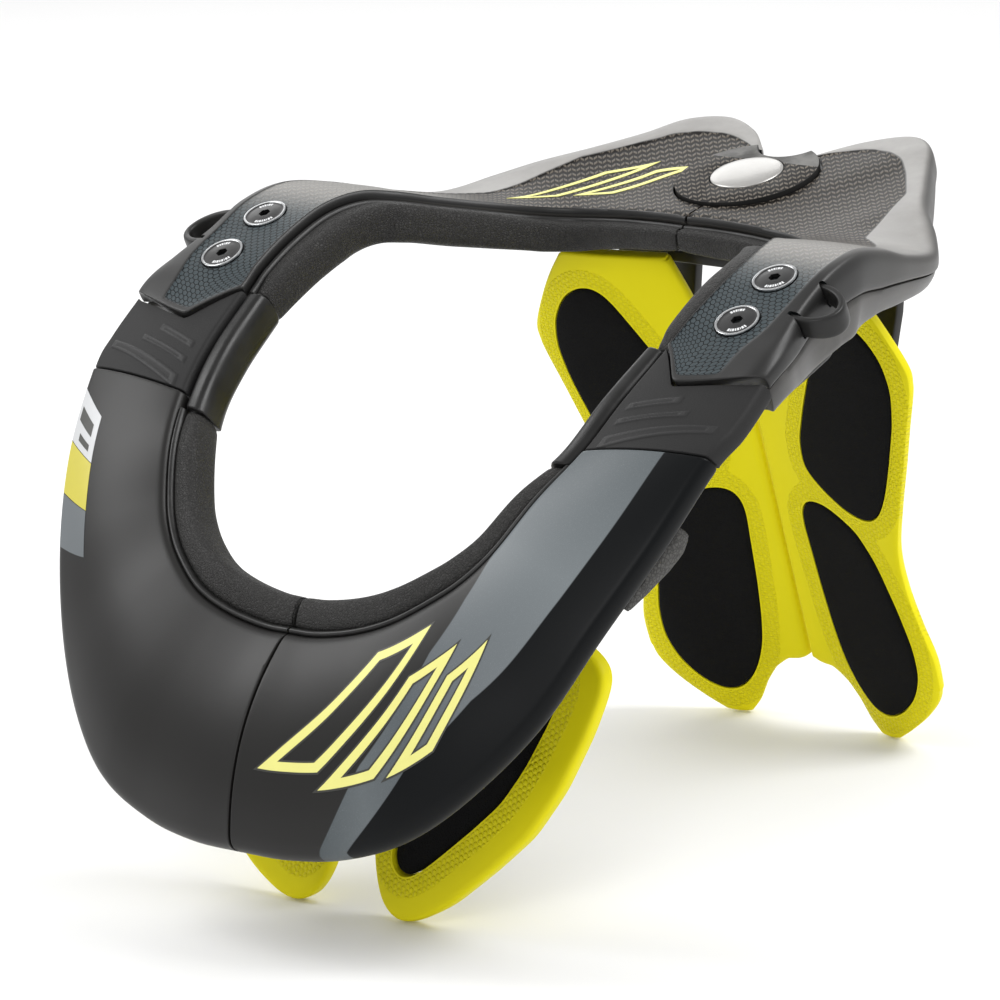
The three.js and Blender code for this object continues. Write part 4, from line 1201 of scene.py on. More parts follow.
@dataclass(frozen=True)
class YokeSection:
    """Section of the arm and rear plate, with the lower shell under it."""

    inner_wall: float = 5 * MM
    wall: float = 16 * MM
    flare: float = 16 * MM
    crown: float = 4 * MM
    nose: float = 14 * MM
    lower_outer: float = 15 * MM
    lower_inner: float = 12 * MM
    lower_tuck: float = 3 * MM
    # Share across, out, down and reach of the pointed end, for each column of the section
    columns: tuple[tuple[float, float, float, float], ...] = (
        (0, 0, 0, 0), (0.12, 0, 0, 0.24), (0.3, 0, 0, 0.6), (0.5, 0, 0, 1), (0.76, 0, 0, 0.86),
        (1, 0, 0, 0.7), (1, 0.75, 0.06, 0.45), (1, 1, 0.35, 0.3), (1, 1, 1, 0.3),
    )

    def face(self, place: Array, share: Array, rise: float = 0.0) -> Array:
        """Points of the upper face.

        Args:
            place: Fractional rows.
            share: Shares across, 0 at the neck.
            rise: Height over the face.

        Returns:
            The points.
        """
        rows = YOKE.frame(place)
        bulge = YOKE.column(8, place) * self.crown * 4 * share * (1 - share)
        t = share[..., None]
        points = rows.inner * (1 - t) + rows.outer * t
        width = (rows.outer - rows.inner)[..., 0]
        points[..., 0] = rows.inner[..., 0] + width * share ** YOKE.column(9, place)
        return points + rows.normal * (bulge + rise)[..., None]

    def column_at(self, index: int, station: Array) -> Array:
        """Value of a section column at fractional stations."""
        return np.interp(station, np.arange(len(self.columns)), [c[index] for c in self.columns])

    def places(self, base: Array, station: Array, spread: float = 0.0) -> Array:
        """Places along the yoke of each ring's points, drawn forward at the pointed end."""
        reach = self.nose / YOKE.length(ARM_START)
        weight = np.maximum(1 - (base - ARM_START) / 3, 0)[:, None]
        drawn = (reach * self.column_at(3, station)[None] + spread) * weight
        return np.maximum(base[:, None] - drawn, 0)

    def points(self, base: Array, station: Array, spread: float = 0.0) -> dict[str, Array]:
        """Points of the upper face and wall, the underside and the lower shell.

        Args:
            base: Rows, before the pointed end is drawn forward.
            station: Stations round the section, 0 at the neck and 8 at the wall's foot.
            spread: How far the pointed end is drawn further.

        Returns:
            top, bottom and low points, their frame and their places.
        """
        place = self.places(base, station, spread)
        rows = YOKE.frame(place)
        columns = {"flare": 6, "wall": 7, "crown": 8, "ease": 9, "lower": 10}
        value = {key: YOKE.column(index, place) for key, index in columns.items()}
        across = self.column_at(0, station)[None] + 0 * place
        out, down = self.column_at(1, station)[None], self.column_at(2, station)[None]

        def side(outward: Array, downward: Array) -> Array:
            """Points of the side, this far out and down from the outer edge."""
            return (
                rows.outer
                + rows.across * (value["flare"] * self.flare * outward)[..., None]
                - rows.normal * (value["wall"] * self.wall * downward)[..., None]
            )

        t = across[..., None]
        upper = rows.inner * (1 - t) + rows.outer * t
        upper[..., 0] = rows.inner[..., 0] + (rows.outer - rows.inner)[..., 0] * across ** value["ease"]
        edge = -1 * MM * np.clip(1 - across / 0.03, 0, 1)
        bulge = value["crown"] * self.crown * 4 * across * (1 - across)
        upper = upper + rows.normal * (bulge + edge)[..., None]
        wall = side(out + 0 * place, down + 0 * place)
        top = np.where((station > 5)[None, :, None], wall, upper)
        share = (station / 8)[None] + 0 * place
        inner_low = rows.inner - rows.normal * self.inner_wall
        outer_low = side(1 + 0 * place, 1 + 0 * place) - rows.across * 0.5 * MM
        bottom = inner_low * (1 - share[..., None]) + outer_low * share[..., None]
        bottom[..., 0] = inner_low[..., 0] + (outer_low - inner_low)[..., 0] * share ** value["ease"]
        depth = value["lower"] * (self.lower_inner * (1 - share) + self.lower_outer * share)
        low_top = bottom - rows.normal * GAP
        low = bottom - rows.normal * (GAP + depth)[..., None]
        tuck = self.lower_tuck * np.clip((station - 7)[None], 0, 1) * np.ones_like(place)
        low = low - rows.across * tuck[..., None]
        return {"top": top, "bottom": bottom, "low_top": low_top, "low": low, "normal": rows.normal,
                "across": rows.across, "along": rows.along, "place": place}


YOKE_SECTION = YokeSection()
YOKE_SECTION_PLAIN = YokeSection(nose=0.0)


@dataclass
class HubPlace:
    """Place and size of the hub."""

    radius: float = 28 * MM
    y: float = 130.533 * MM
    z: float = 223 * MM
    tilt: float = 12.5
    thickness: float = 5 * MM
    badge_radius: float = 14 * MM
    badge_height: float = 3.2 * MM
    badge_seat: float = 1.4 * MM
    post_radius: float = 19 * MM
    notch_radius: float = 13.5 * MM
    notch_y: float = 29.5 * MM
    foot: float = 193.4 * MM

    def matrix(self) -> Matrix:
        """From the hub's own frame, with +Z out of its face, to the brace's."""
        return Matrix.Translation((0, self.y, self.z)) @ Matrix.Rotation(math.radians(self.tilt), 4, "X")

    def cylinder(self, name: str, radius: float, height: float, top: float, sides: int = 96) -> Piece:
        """A cylinder on the hub's axis, its top this far over the face."""
        obj = cylinder(name, radius, height, (0, 0, top - height / 2), sides)
        obj.data.transform(self.matrix())
        return obj


HUB = HubPlace()


@dataclass(frozen=True)
class BoltPlace:
    """Seat of a bolt on the arm's face."""

    x: float
    y: float
    radius: float = 8.2 * MM
    sink: float = 1.4 * MM

    def matrix(self) -> Matrix:
        """From the bolt's own frame, with +Z out of the arm, to the brace's."""
        places = np.linspace(ARM_START, ARM_START + 4, 201)
        rows = YOKE.frame(places)
        t = (self.x - rows.inner[:, 0]) / (rows.outer - rows.inner)[:, 0]
        rise = YOKE.column(8, places) * YOKE_SECTION.crown * 4 * t * (1 - t)
        points = rows.inner * (1 - t[:, None]) + rows.outer * t[:, None] + rows.normal * rise[:, None]
        k = int(np.abs(points[:, 1] - self.y).argmin())
        turn = Vector((0, 0, 1)).rotation_difference(Vector(rows.normal[k]))
        return Matrix.Translation(points[k]) @ turn.to_matrix().to_4x4()


UPPER_BOLT = BoltPlace(119 * MM, (22.533 - 31) * MM)
LOWER_BOLT = BoltPlace(120 * MM, (22.533 - 54.8) * MM)


@dataclass(frozen=True)
class PadRoll:
    """Roll of padding along the collar's neck side."""

    width: float = 15 * MM
    height: float = 16 * MM
    sink: float = 1.6 * MM
    rear_sink: float = 3.4 * MM
    sides: int = 40
    power: float = 0.66
    # Share of the collar's length, then of the width and height
    sizes: tuple[tuple[float, float, float], ...] = (
        (0.0, 0.96, 1.0), (0.12, 0.9, 1.0), (0.22, 0.76, 1.0), (0.32, 0.66, 1.0), (0.4, 0.6, 1.0),
        (0.5, 0.85, 1.05), (0.65, 0.7, 0.95), (0.8, 0.5, 0.7), (1.0, 0.42, 0.58),
    )

    def share(self, table: CollarTable, place: Array) -> Array:
        """Share of the collar's length at places of either table."""
        front = FLEX_END / (FLEX_END + YOKE_END - ARM_START)
        if table is BIB:
            return place / FLEX_END * front
        return front + (place - ARM_START) / (YOKE_END - ARM_START) * (1 - front)

    def rings(
        self, table: CollarTable, start: float, stop: float, count: int, size: float = 1.0, swell: float = 0.0
    ) -> tuple[Array, Array]:
        """Rings of the roll.

        Args:
            table: The collar's front or rear.
            start: First place.
            stop: Last place.
            count: Number of rings.
            size: Share of the full section.
            swell: How much its ends are drawn in.

        Returns:
            The rings, and each point's place and share round.
        """
        place = np.linspace(start, stop, count)
        rows = table.frame(place)
        at, wide, tall = zip(*self.sizes)
        share = self.share(table, place)
        width, height = np.interp(share, at, wide) * self.width, np.interp(share, at, tall) * self.height
        down = (self.rear_sink if table is YOKE else self.sink) + height / 2
        centre = rows.inner - rows.across * (1.5 * GAP + width / 2)[:, None] - rows.normal * down[:, None]
        run = np.linspace(0, 1, count)
        ends = 1 - swell * (np.exp(-run * 28) + np.exp(-(1 - run) * 28))
        full = size * ends
        ring = tube(centre, rows.across, rows.normal, width * full, height * full, self.sides, self.power)
        ring[..., 0] = np.maximum(ring[..., 0], SEAM)
        angle, _, _ = squared_circle(self.sides, self.power)
        grid = np.stack(np.broadcast_arrays(place[:, None], angle[None] / (2 * math.pi)), -1)
        return ring, grid


PAD_ROLL = PadRoll()


# Sub-assemblies


@dataclass
class FrontHalf:
    """One half of the bib: shell, printed design or label, flexible panel and rounded trim."""

    palette: Palette
    shell_rows: int = 150
    flex_rows: int = 110
    flex_columns: int = 96
    flex_sink: float = 0.8 * MM
    flex_relief_height: float = 0.45 * MM
    label_lean: float = 1.2
    label_start: float = 0.68
    # Place along the bib, and share across of the grey band's inner or outer side there
    band_inner: tuple[tuple[float, float], ...] = (
        (1.6, 1.1), (1.67, 0.99), (2.54, 0.65), (4.03, 0.28), (5.0, 0.13), (6.15, 0.0), (8, -0.2),
    )
    band_outer: tuple[tuple[float, float], ...] = (
        (1.7, 1.15), (2.11, 1.0), (3.31, 0.74), (4.5, 0.66), (6.06, 0.69), (8, 0.69),
    )
    # Middle, half width, start and stop of the flexible panel's raised bands, as shares
    raised: tuple[tuple[float, float, float, float], ...] = (
        (0.2, 0.07, 0.1, 0.9), (0.42, 0.04, 0.1, 0.62), (0.58, 0.04, 0.1, 0.5),
    )

    def stripe_marks(self, grid: Array) -> Array:
        """Distances into the grey band and into the cooler zone outside it, in metres.

        Args:
            grid: Place and share across of each point.

        Returns:
            A pair for each point.
        """
        place, share = grid[..., 0], grid[..., 1]
        width = np.linalg.norm(BIB.edge(3, place) - BIB.edge(0, place), axis=-1)
        left, right = (np.interp(place, *zip(*side)) for side in (self.band_inner, self.band_outer))
        band = np.minimum((share - left) * width * 0.75, (right - share) * width)
        return np.stack([band, (share - right) * width], -1)

    def shell(self) -> Piece:
        """The shell's body."""
        line = GAP / BIB.length(SHELL_END)
        rings, grid = BIB_SECTION.rings(np.linspace(0, SHELL_END - line, self.shell_rows), 0.0)
        maps = {"rows": grid, "marks": self.stripe_marks(grid)}
        return shade(loft("shell_left", rings, maps, (0.5 * MM, 0.8 * MM)))

    def flex_relief(self, place: Array, share: Array) -> Array:
        """Height of the raised bands on the flexible panel, from 0 to 1.

        Args:
            place: Fractional rows.
            share: Shares across.

        Returns:
            Rows by columns of heights.
        """
        rows = (place[:, None] - SHELL_END) / (FLEX_END - SHELL_END)
        width = share[None]
        slant = rows - 0.35 * (width - 0.5)
        bands = np.zeros(np.broadcast(rows, width).shape)
        for middle, half, start, stop in self.raised:
            off = np.abs(slant - middle)
            inside = np.minimum(half - off, np.minimum(width - start, stop - width) * 0.9)
            bands = np.maximum(bands, ease_between(0, 0.018, inside))
            ends = np.minimum(width - start - 0.06, stop - 0.06 - width)
            bands = bands - 0.55 * ease_between(0, 0.012, np.minimum(half * 0.45 - off, ends))
        return bands

    def flex(self) -> Piece:
        """The flexible panel, notched for the arm's pointed end."""
        section = BibSection(columns=self.flex_columns)
        place = np.linspace(SHELL_END + GAP / BIB.length(SHELL_END), FLEX_END, self.flex_rows)
        bands = self.flex_relief(place, np.linspace(0, 1, section.columns))
        rings, grid = section.rings(place, self.flex_sink, bands * self.flex_relief_height)
        marks = np.zeros_like(grid)
        marks[:, 2 : 2 + section.columns, 0] = bands
        obj = loft("flex_left", rings, {"rows": grid, "marks": marks}, (0.8 * MM, 0.4 * MM))
        base = np.linspace(ARM_START, ARM_START + 1, 9)
        cells = YOKE_SECTION.points(base, np.linspace(0, 8, 40), 1 * MM / YOKE.length(ARM_START))
        top, across = cells["top"], cells["across"]
        first = top[:, :1] - across[:, :1] * 15 * MM
        last = top[:, -1:] + across[:, -1:] * 16 * MM
        sheet = np.concatenate([first, top, last], 1)
        height = 32 * MM * cells["normal"][:, :1]
        block = np.concatenate([sheet + height, (sheet - height)[:, ::-1]], 1)
        cut(obj, loft("arm_cutter", block, None, (0.0, 0.0)))
        soften(obj, 0.35 * MM, 2, 60)
        return shade(obj, 35)

    def trim(self) -> Piece:
        """The rounded strip beside the flexible panel."""
        rings, grid = PAD_ROLL.rings(BIB, SHELL_END - 0.25, FLEX_END - 0.05, 70)
        return shade(loft("trim_left", rings, {"rows": grid}, (1.2 * MM, 1.2 * MM)), 60)

    def ribbon(
        self, name: str, corners: Sequence[tuple[float, float]], width: float, rise: float,
        surface: Callable[[Array, Array, float], Array] = BIB_SECTION.top,
        step: tuple[float, float] = (22 * MM, 84 * MM),
    ) -> Piece:
        """A thin closed outline that lies on a surface of the collar.

        Args:
            name: Name of the piece.
            corners: Places and shares of its corners.
            width: Width of the line in metres.
            rise: Height over the surface.
            surface: Gives the surface's points at places and shares.
            step: Length of one place and width of the surface there.

        Returns:
            The object.
        """
        corners = np.array(corners, float)
        scale = np.array(step)
        flat = corners * scale
        count = len(flat)
        ahead = unit(np.roll(flat, -1, 0) - flat)
        behind = unit(flat - np.roll(flat, 1, 0))
        bisector = unit(ahead + behind)
        normal = np.stack([-bisector[:, 1], bisector[:, 0]], -1)
        stretch = 1 / np.maximum(np.sum(bisector * ahead, 1), 0.35)
        rings = []
        for i in range(count):
            j = (i + 1) % count
            for s in np.arange(14) / 14:
                centre = flat[i] * (1 - s) + flat[j] * s
                offset = (normal[i] * stretch[i] * (1 - s) + normal[j] * stretch[j] * s) * width / 2
                rings.append(np.array([centre - offset, centre, centre + offset]) / scale)
        rings.append(rings[0])
        pairs = np.array(rings)
        up, down = (surface(pairs[..., 0], pairs[..., 1], height) for height in (rise, rise - 0.5 * MM))
        obj = grid_piece(name, np.concatenate([up, down[:, ::-1], up[:, :1]], 1))
        edit(obj, merge_points(), face_out)
        return shade(obj, 30)

    def patch(self, name: str, ends: tuple[float, float], sides: tuple[float, float], rise: float) -> Piece:
        """A thin label that lies on the right shell's outer edge, with slanted ends.

        Args:
            name: Name of the piece.
            ends: Places of its lower and upper end.
            sides: Shares across of its inner and outer side.
            rise: Height over the shell.

        Returns:
            The object.
        """
        q, share = np.meshgrid(np.linspace(*ends, 24), np.linspace(*sides, 24), indexing="ij")
        place = q + self.label_lean * (share - self.label_start)
        up, down = (BIB_SECTION.top(place, share, height) for height in (rise, -0.4 * MM))
        return turned_over(shade(loft(name, np.concatenate([up, down[:, ::-1]], 1), None, (0.0, 0.0)), 30))

    def build(self) -> None:
        """Builds and dresses both halves."""
        p = self.palette
        left = self.shell()
        right = mirrored(left, "shell_right")
        dress(left, "left_half", p.shell_striped, "satin_shell", ["front_shell_left"])
        dress(right, "right_half", p.shell_plain, "satin_shell", ["front_shell_right"])
        flex, trim = self.flex(), self.trim()
        dress_pair(flex, p.rubber, "flex_rubber", "flex_panel")
        dress_pair(trim, p.trim, "flex_rubber", "inner_trim")
        bars = (
            ("band_long", [(0.75, 0.62), (2.9, 0.16), (3.9, 0.16), (1.75, 0.62)]),
            ("band_middle", [(2.0, 0.7), (3.6, 0.36), (4.35, 0.36), (2.75, 0.7)]),
            ("band_short", [(3.2, 0.72), (4.3, 0.48), (4.85, 0.48), (3.75, 0.72)]),
        )
        for name, corners in bars:
            edge = self.ribbon(f"{name}_edge", corners, 5.2 * MM, 0.06 * MM)
            dress(edge, "left_half", p.outline, "satin_shell")
            dress(self.ribbon(name, corners, 3.6 * MM, 0.13 * MM), "left_half", p.pale, "satin_shell")
        rear_bars = (
            ("rear_band_long", [(8.9, 0.3), (11.3, 0.62), (12.3, 0.62), (9.9, 0.3)]),
            ("rear_band_short", [(10.6, 0.3), (12.5, 0.52), (13.4, 0.52), (11.5, 0.3)]),
        )
        for name, corners in rear_bars:
            band = self.ribbon(name, corners, 2.2 * MM, -0.26 * MM, YOKE_SECTION.face, (13 * MM, 72 * MM))
            dress(turned_over(band), "right_half", p.pale, "carbon_frame")
        labels = (
            ("label_mark_upper", (7.02, 7.17), (0.74, 0.93), 0.2 * MM, p.outline),
            ("label_mark_lower", (6.84, 6.92), (0.74, 0.88), 0.2 * MM, p.outline),
            ("label_white", (6.76, 7.34), (0.68, 0.965), 0.12 * MM, p.label_white),
            ("label_yellow", (6.18, 6.75), (0.68, 0.965), 0.12 * MM, p.label_yellow),
            ("label_grey", (5.6, 6.17), (0.68, 0.965), 0.12 * MM, p.label_grey),
        )
        for name, ends, sides, rise, material in labels:
            dress(self.patch(name, ends, sides, rise), "right_half", material, "satin_shell")


@dataclass
class Padding:
    """Soft pieces of the collar: neck rolls with their piping, the pads under the bib and arms."""

    palette: Palette
    pressure: float = 3.0
    reach: float = 0.9 * MM
    pad_pressure: float = 2.5
    pad_reach: float = 0.6 * MM
    bead_radius: float = 1.5 * MM
    under_size: tuple[float, float] = (20 * MM, 14 * MM)
    shoulder_size: tuple[float, float] = (30 * MM, 8 * MM)
    # Share of its room that a pad takes before it swells
    under_start: float = 0.95
    shoulder_start: float = 0.96
    # Share of the under pad's length, then of its width and height
    under_shares: tuple[tuple[float, float, float], ...] = (
        (0.0, 0.35, 0.3), (0.25, 0.75, 0.65), (0.6, 1.0, 0.95), (0.85, 1.0, 1.0), (1.0, 0.6, 0.7),
    )

    def soft(self, obj: Piece, pressure: float, reach: float) -> Piece:
        """Swells a piece and smooths its surface."""
        inflate(obj, pressure, reach)
        apply_modifier(obj, "SUBSURF", levels=1, render_levels=1)
        return shade(obj, 70)

    def roll(self, name: str, table: CollarTable, start: float, stop: float, count: int) -> Piece:
        """One roll of neck padding between two places of a table."""
        rings, grid = PAD_ROLL.rings(table, start, stop, count, 0.95, 0.12)
        obj = loft(name, rings, {"rows": grid}, (1.5 * MM, 1.5 * MM))
        return self.soft(obj, self.pressure, self.reach)

    def piping(self, name: str, table: CollarTable, start: float, stop: float, drop: float) -> Piece:
        """A thin bead between the collar's edge and the roll.

        Args:
            name: Name of the piece.
            table: The collar's front or rear.
            start: First place.
            stop: Last place.
            drop: How far its top lies below the edge.

        Returns:
            The object.
        """
        place = np.linspace(start, stop, 160)
        rows = table.frame(place)
        down = drop + 2 * self.bead_radius
        centre = rows.inner - rows.across * 0.9 * MM - rows.normal * down
        width = np.full(len(place), 2 * self.bead_radius)
        ring = tube(centre, rows.across, rows.normal, width, 2 * width, 16, 1.0)
        ring[..., 0] = np.maximum(ring[..., 0], SEAM)
        return shade(loft(name, ring, None, (0.4 * MM, 0.4 * MM)), 80)

    def pad(self, name: str, centre: Array, across: Array, up: Array, size: tuple[Array, Array]) -> Piece:
        """A soft body round a line of centres.

        Args:
            name: Name of the piece.
            centre: Middle of each ring.
            across: Direction of its width.
            up: Direction of its height.
            size: Full widths and heights.

        Returns:
            The object.
        """
        obj = loft(name, tube(centre, across, up, *size, 36, 0.62), None, (0.8 * MM, 0.8 * MM))
        return self.soft(obj, self.pad_pressure, self.pad_reach)

    def under(self) -> Piece:
        """Pad under the bib's outer part."""
        count = 40
        at, *shares = zip(*self.under_shares)
        width, height = (
            np.interp(np.linspace(0, 1, count), at, share) * size
            for share, size in zip(shares, self.under_size)
        )
        rows = BIB.frame(np.linspace(6.35, 7.3, count))
        corner = rows.outer - rows.normal * BIB_SECTION.thickness
        centre = corner - rows.across * (width / 2)[:, None] - rows.normal * (GAP + height / 2)[:, None]
        size = (width * self.under_start, height * self.under_start)
        return self.pad("under_pad_soft_left", centre, rows.across, rows.normal, size)

    def shoulder(self) -> Piece:
        """Pad under the arm."""
        count = 46
        rounding = np.sqrt(np.maximum(1 - (2 * np.linspace(0, 1, count) - 1) ** 4, 0.12))
        width, height = (size * rounding for size in self.shoulder_size)
        cells = YOKE_SECTION_PLAIN.points(np.linspace(1.2, 5, count), np.array([1.0, 7.0]))
        face = cells["low"] - cells["normal"] * GAP
        across = unit(face[:, 1] - face[:, 0])
        down = unit(np.cross(cells["along"][:, 0], across))
        centre = (face[:, 0] + face[:, 1]) / 2 + down * (GAP + height / 2)[:, None]
        size = (width * self.shoulder_start, height * self.shoulder_start)
        return self.pad("shoulder_pad_soft_left", centre, across, down, size)

    def build(self) -> None:
        """Builds and dresses the pads of both halves."""
        p = self.palette
        front, rear = (BIB, 0, SHELL_END - 0.28), (YOKE, ARM_START + 0.05, YOKE_END)
        neck = "neck_padding"
        dress_pair(self.roll("neck_roll_front_left", *front, 110), p.padding, neck, "neck_pad_front")
        dress_pair(self.roll("neck_roll_rear_left", *rear, 130), p.padding, neck, "neck_pad_rear")
        dress_pair(self.under(), p.under, "grey_foam", "under_pad")
        dress_pair(self.shoulder(), p.shoulder, "black_foam", "shoulder_pad")
        dress_pair(self.piping("bead_front_left", *front, 1.1 * MM), p.piping, neck)
        dress_pair(self.piping("bead_rear_left", *rear, 3.4 * MM), p.piping, neck)

@dataclass
class RearYoke:
    """Arm, rear plate and lower shell of each half, with their strap loop."""

    palette: Palette
    rows: int = 190
    recess: float = 0.45 * MM
    loop_reach: float = 12 * MM
    loop_droop: float = 2 * MM
    loop_span: float = 19 * MM
    loop_band: float = 3 * MM
    loop_width: float = 9 * MM
    loop_depth: float = 2.5 * MM
    loop_row: float = 3.2
    loop_drop: float = 0.36

    def stations(self) -> Array:
        """Stations round the section, closer where it bends."""
        runs = ((0, 0.6, 8), (0.7, 4.8, 52), (4.9, 6.2, 12), (6.35, 8, 14))
        return np.concatenate([np.linspace(*run) for run in runs])

    def panel_marks(self, base: Array, station: Array, cells: dict[str, Array]) -> Array:
        """Distance into the patterned panel and share down the wall.

        Args:
            base: Rows before the pointed end is drawn forward.
            station: Stations round the section.
            cells: Points of the section there.

        Returns:
            A pair for each point of the top.
        """
        place = np.broadcast_to(base[:, None], cells["place"].shape)
        width = np.linalg.norm(YOKE.edge(3, cells["place"]) - YOKE.edge(0, cells["place"]), axis=-1)
        across = YOKE_SECTION.column_at(0, station)[None] + np.clip((station - 5) * 0.3, 0, None)[None]
        limit = np.interp(
            cells["place"],
            [0.3, 1, 2, 3, 4, 5, 6, 7.2, 8.5, 9.8, 10.8, 12, 13, 14, 15.1, 16],
            [0.97, 0.97, 0.97, 0.97, 0.98, 0.99, 0.97, 0.72, 0.54, 0.77, 0.92, 0.91, 0.88, 0.85, 0.83, 0.82],
        )
        near = np.interp(cells["place"], [0.3, 3, 5, 7, 16], [0.05, 0.05, 0.05, 0.04, 0.02])
        nose = (place - ARM_START) * YOKE.length(ARM_START) - 1.6 * MM
        seam = (YOKE_END - place) * 12 * MM + 2 * MM
        sides = np.minimum((limit - across) * width, (across - near) * width)
        panel = np.minimum(sides, np.minimum(nose, seam))
        wall = np.clip((station - 5) / 3, 0, 1)[None] + 0 * panel
        return np.stack([panel, wall], -1)

    def frame_body(self) -> Piece:
        """The upper part: patterned face, rims and side wall."""
        base = np.linspace(ARM_START, YOKE_END, self.rows)
        station = self.stations()
        cells = YOKE_SECTION.points(base, station)
        marks = self.panel_marks(base, station, cells)
        ring = np.concatenate([cells["top"], cells["bottom"][:, ::-1]], 1)
        ring = rounded(ring, 7)
        count = len(station)
        sunk = ease_between(-0.3 * MM, 0.5 * MM, marks[..., 0]) * self.recess
        ring[:, :count] -= cells["normal"] * sunk[..., None]
        ring[..., 0] = np.maximum(ring[..., 0], SEAM)
        flat = flat_lengths(cells["top"])
        grid = np.stack([cells["place"], np.broadcast_to((station / 8)[None], cells["place"].shape)], -1)
        under_marks = np.stack([np.full_like(marks[..., 0], -9 * MM), np.ones_like(marks[..., 1])], -1)
        maps = {
            "flat": np.concatenate([flat, flat[:, ::-1]], 1),
            "rows": np.concatenate([grid, grid[:, ::-1]], 1),
            "marks": np.concatenate([marks, under_marks], 1),
        }
        return loft("rear_plate_left", ring, maps, (0.7 * MM, 0.4 * MM))

    def lower_body(self) -> Piece:
        """The lower shell."""
        base = np.linspace(ARM_START, YOKE_END, self.rows)
        station = np.concatenate([np.linspace(0, 7, 30), np.linspace(7.1, 8, 8)])
        cells = YOKE_SECTION.points(base, station)
        top, low = cells["low_top"], cells["low"]
        first, last = (
            [top[:, side] * (1 - k) + low[:, side] * k for k in (0.4, 0.6)]
            for side in (slice(0, 1), slice(-1, None))
        )
        upper = np.concatenate([first[0], top, last[0]], 1)
        under = np.concatenate([first[1], low, last[1]], 1)
        ring = rounded(np.concatenate([upper, under[:, ::-1]], 1), 3)
        ring[..., 0] = np.maximum(ring[..., 0], SEAM)
        return loft("rear_under_left", ring, None, (0.7 * MM, 0.4 * MM))

    def loop_frame(self) -> tuple[Array, Array, Array, Array]:
        """Origin, along, across and up of the strap loop."""
        base = np.array([self.loop_row])
        cells = YOKE_SECTION_PLAIN.points(base, np.array([6.0, 8.0]))
        origin = cells["top"][0, 0] * (1 - self.loop_drop) + cells["top"][0, 1] * self.loop_drop
        along, across = cells["along"][0, 0], cells["across"][0, 0]
        return origin, along, across, unit(np.cross(across, along))

    def band_ring(
        self, centre: Array, thin: Array, wide: Array, band: float, width: float, power: float = 0.5
    ) -> Array:
        """Ring of a flat band with rounded edges.

        Args:
            centre: Its middle.
            thin: Direction of its thickness.
            wide: Direction of its width.
            band: Thickness.
            width: Width.
            power: 1 for an oval, less for a squarer ring.

        Returns:
            The points.
        """
        _, cos, sin = squared_circle(28, power)
        return centre + thin * (sin * band / 2)[:, None] + wide * (cos * width / 2)[:, None]

    def strap_loop(self) -> Piece:
        """The loop that stands out of the arm's side."""
        origin, along, across, up = self.loop_frame()
        turns = [0.0, *np.linspace(0, math.pi, 48), math.pi]
        roots = [self.loop_depth, *[0.0] * 48, self.loop_depth]
        rings = []
        for turn, root in zip(turns, roots):
            cos, sin = math.cos(turn), math.sin(turn)
            out = across * (sin * self.loop_reach - root) - up * sin * self.loop_droop
            centre = origin - along * cos * self.loop_span / 2 + out
            width = self.loop_width * (0.82 + 0.18 * sin)
            rings.append(self.band_ring(centre, unit(-along * cos + across * sin), up, self.loop_band, width))
        return shade(loft("strap_bar_left", np.stack(rings), None, (0.3 * MM, 0.3 * MM)), 60)

    def slots(self) -> list[Piece]:
        """Cutters for the two recesses that take the loop's ends."""
        origin, along, across, up = self.loop_frame()
        found = []
        for end in (-1, 1):
            middle = origin + along * end * self.loop_span / 2
            rings = []
            for out, grow in ((-self.loop_depth - GAP, 0.0), (0.0, 0.0), (self.loop_reach, 1.0 * MM)):
                band, width = (size + 2.2 * GAP + grow for size in (self.loop_band, self.loop_width))
                rings.append(self.band_ring(middle + across * out, along, up, band, width, 0.6))
            found.append(loft(f"slot_cutter_{end}", np.stack(rings), None, (0.0, 0.0)))
        return found

    def build(self) -> None:
        """Builds and dresses both halves."""
        p = self.palette
        body, under = self.frame_body(), self.lower_body()
        cut(body, HUB.cylinder("hub_cutter", HUB.radius + GAP, 4 * HUB.radius, HUB.radius))
        for place in (UPPER_BOLT, LOWER_BOLT):
            seat = cylinder("seat_cutter", place.radius + GAP, 9.2 * MM, (0, 0, 4.6 * MM - place.sink), 72)
            seat.data.transform(place.matrix())
            cut(body, seat)
        for cutter in self.slots():
            cut(body, cutter)
        cut(under, HUB.cylinder("cap_cutter", HUB.radius + GAP, HUB.thickness + GAP + HUB.radius, HUB.radius))
        cut(under, HUB.cylinder("post_cutter", HUB.post_radius + GAP, 4 * HUB.radius, HUB.radius))
        for cutter in self.slots():
            cut(under, cutter)
        for obj, material, slot, node in (
            (body, p.frame, "carbon_frame", "rear_frame"), (under, p.lower, "grey_shell", "rear_lower"),
        ):
            soften(obj, 0.3 * MM, 2, 55)
            dress_pair(shade(obj, 38), material, slot, node)
        dress_pair(self.strap_loop(), p.plastic, "black_plastic", "strap_loop")


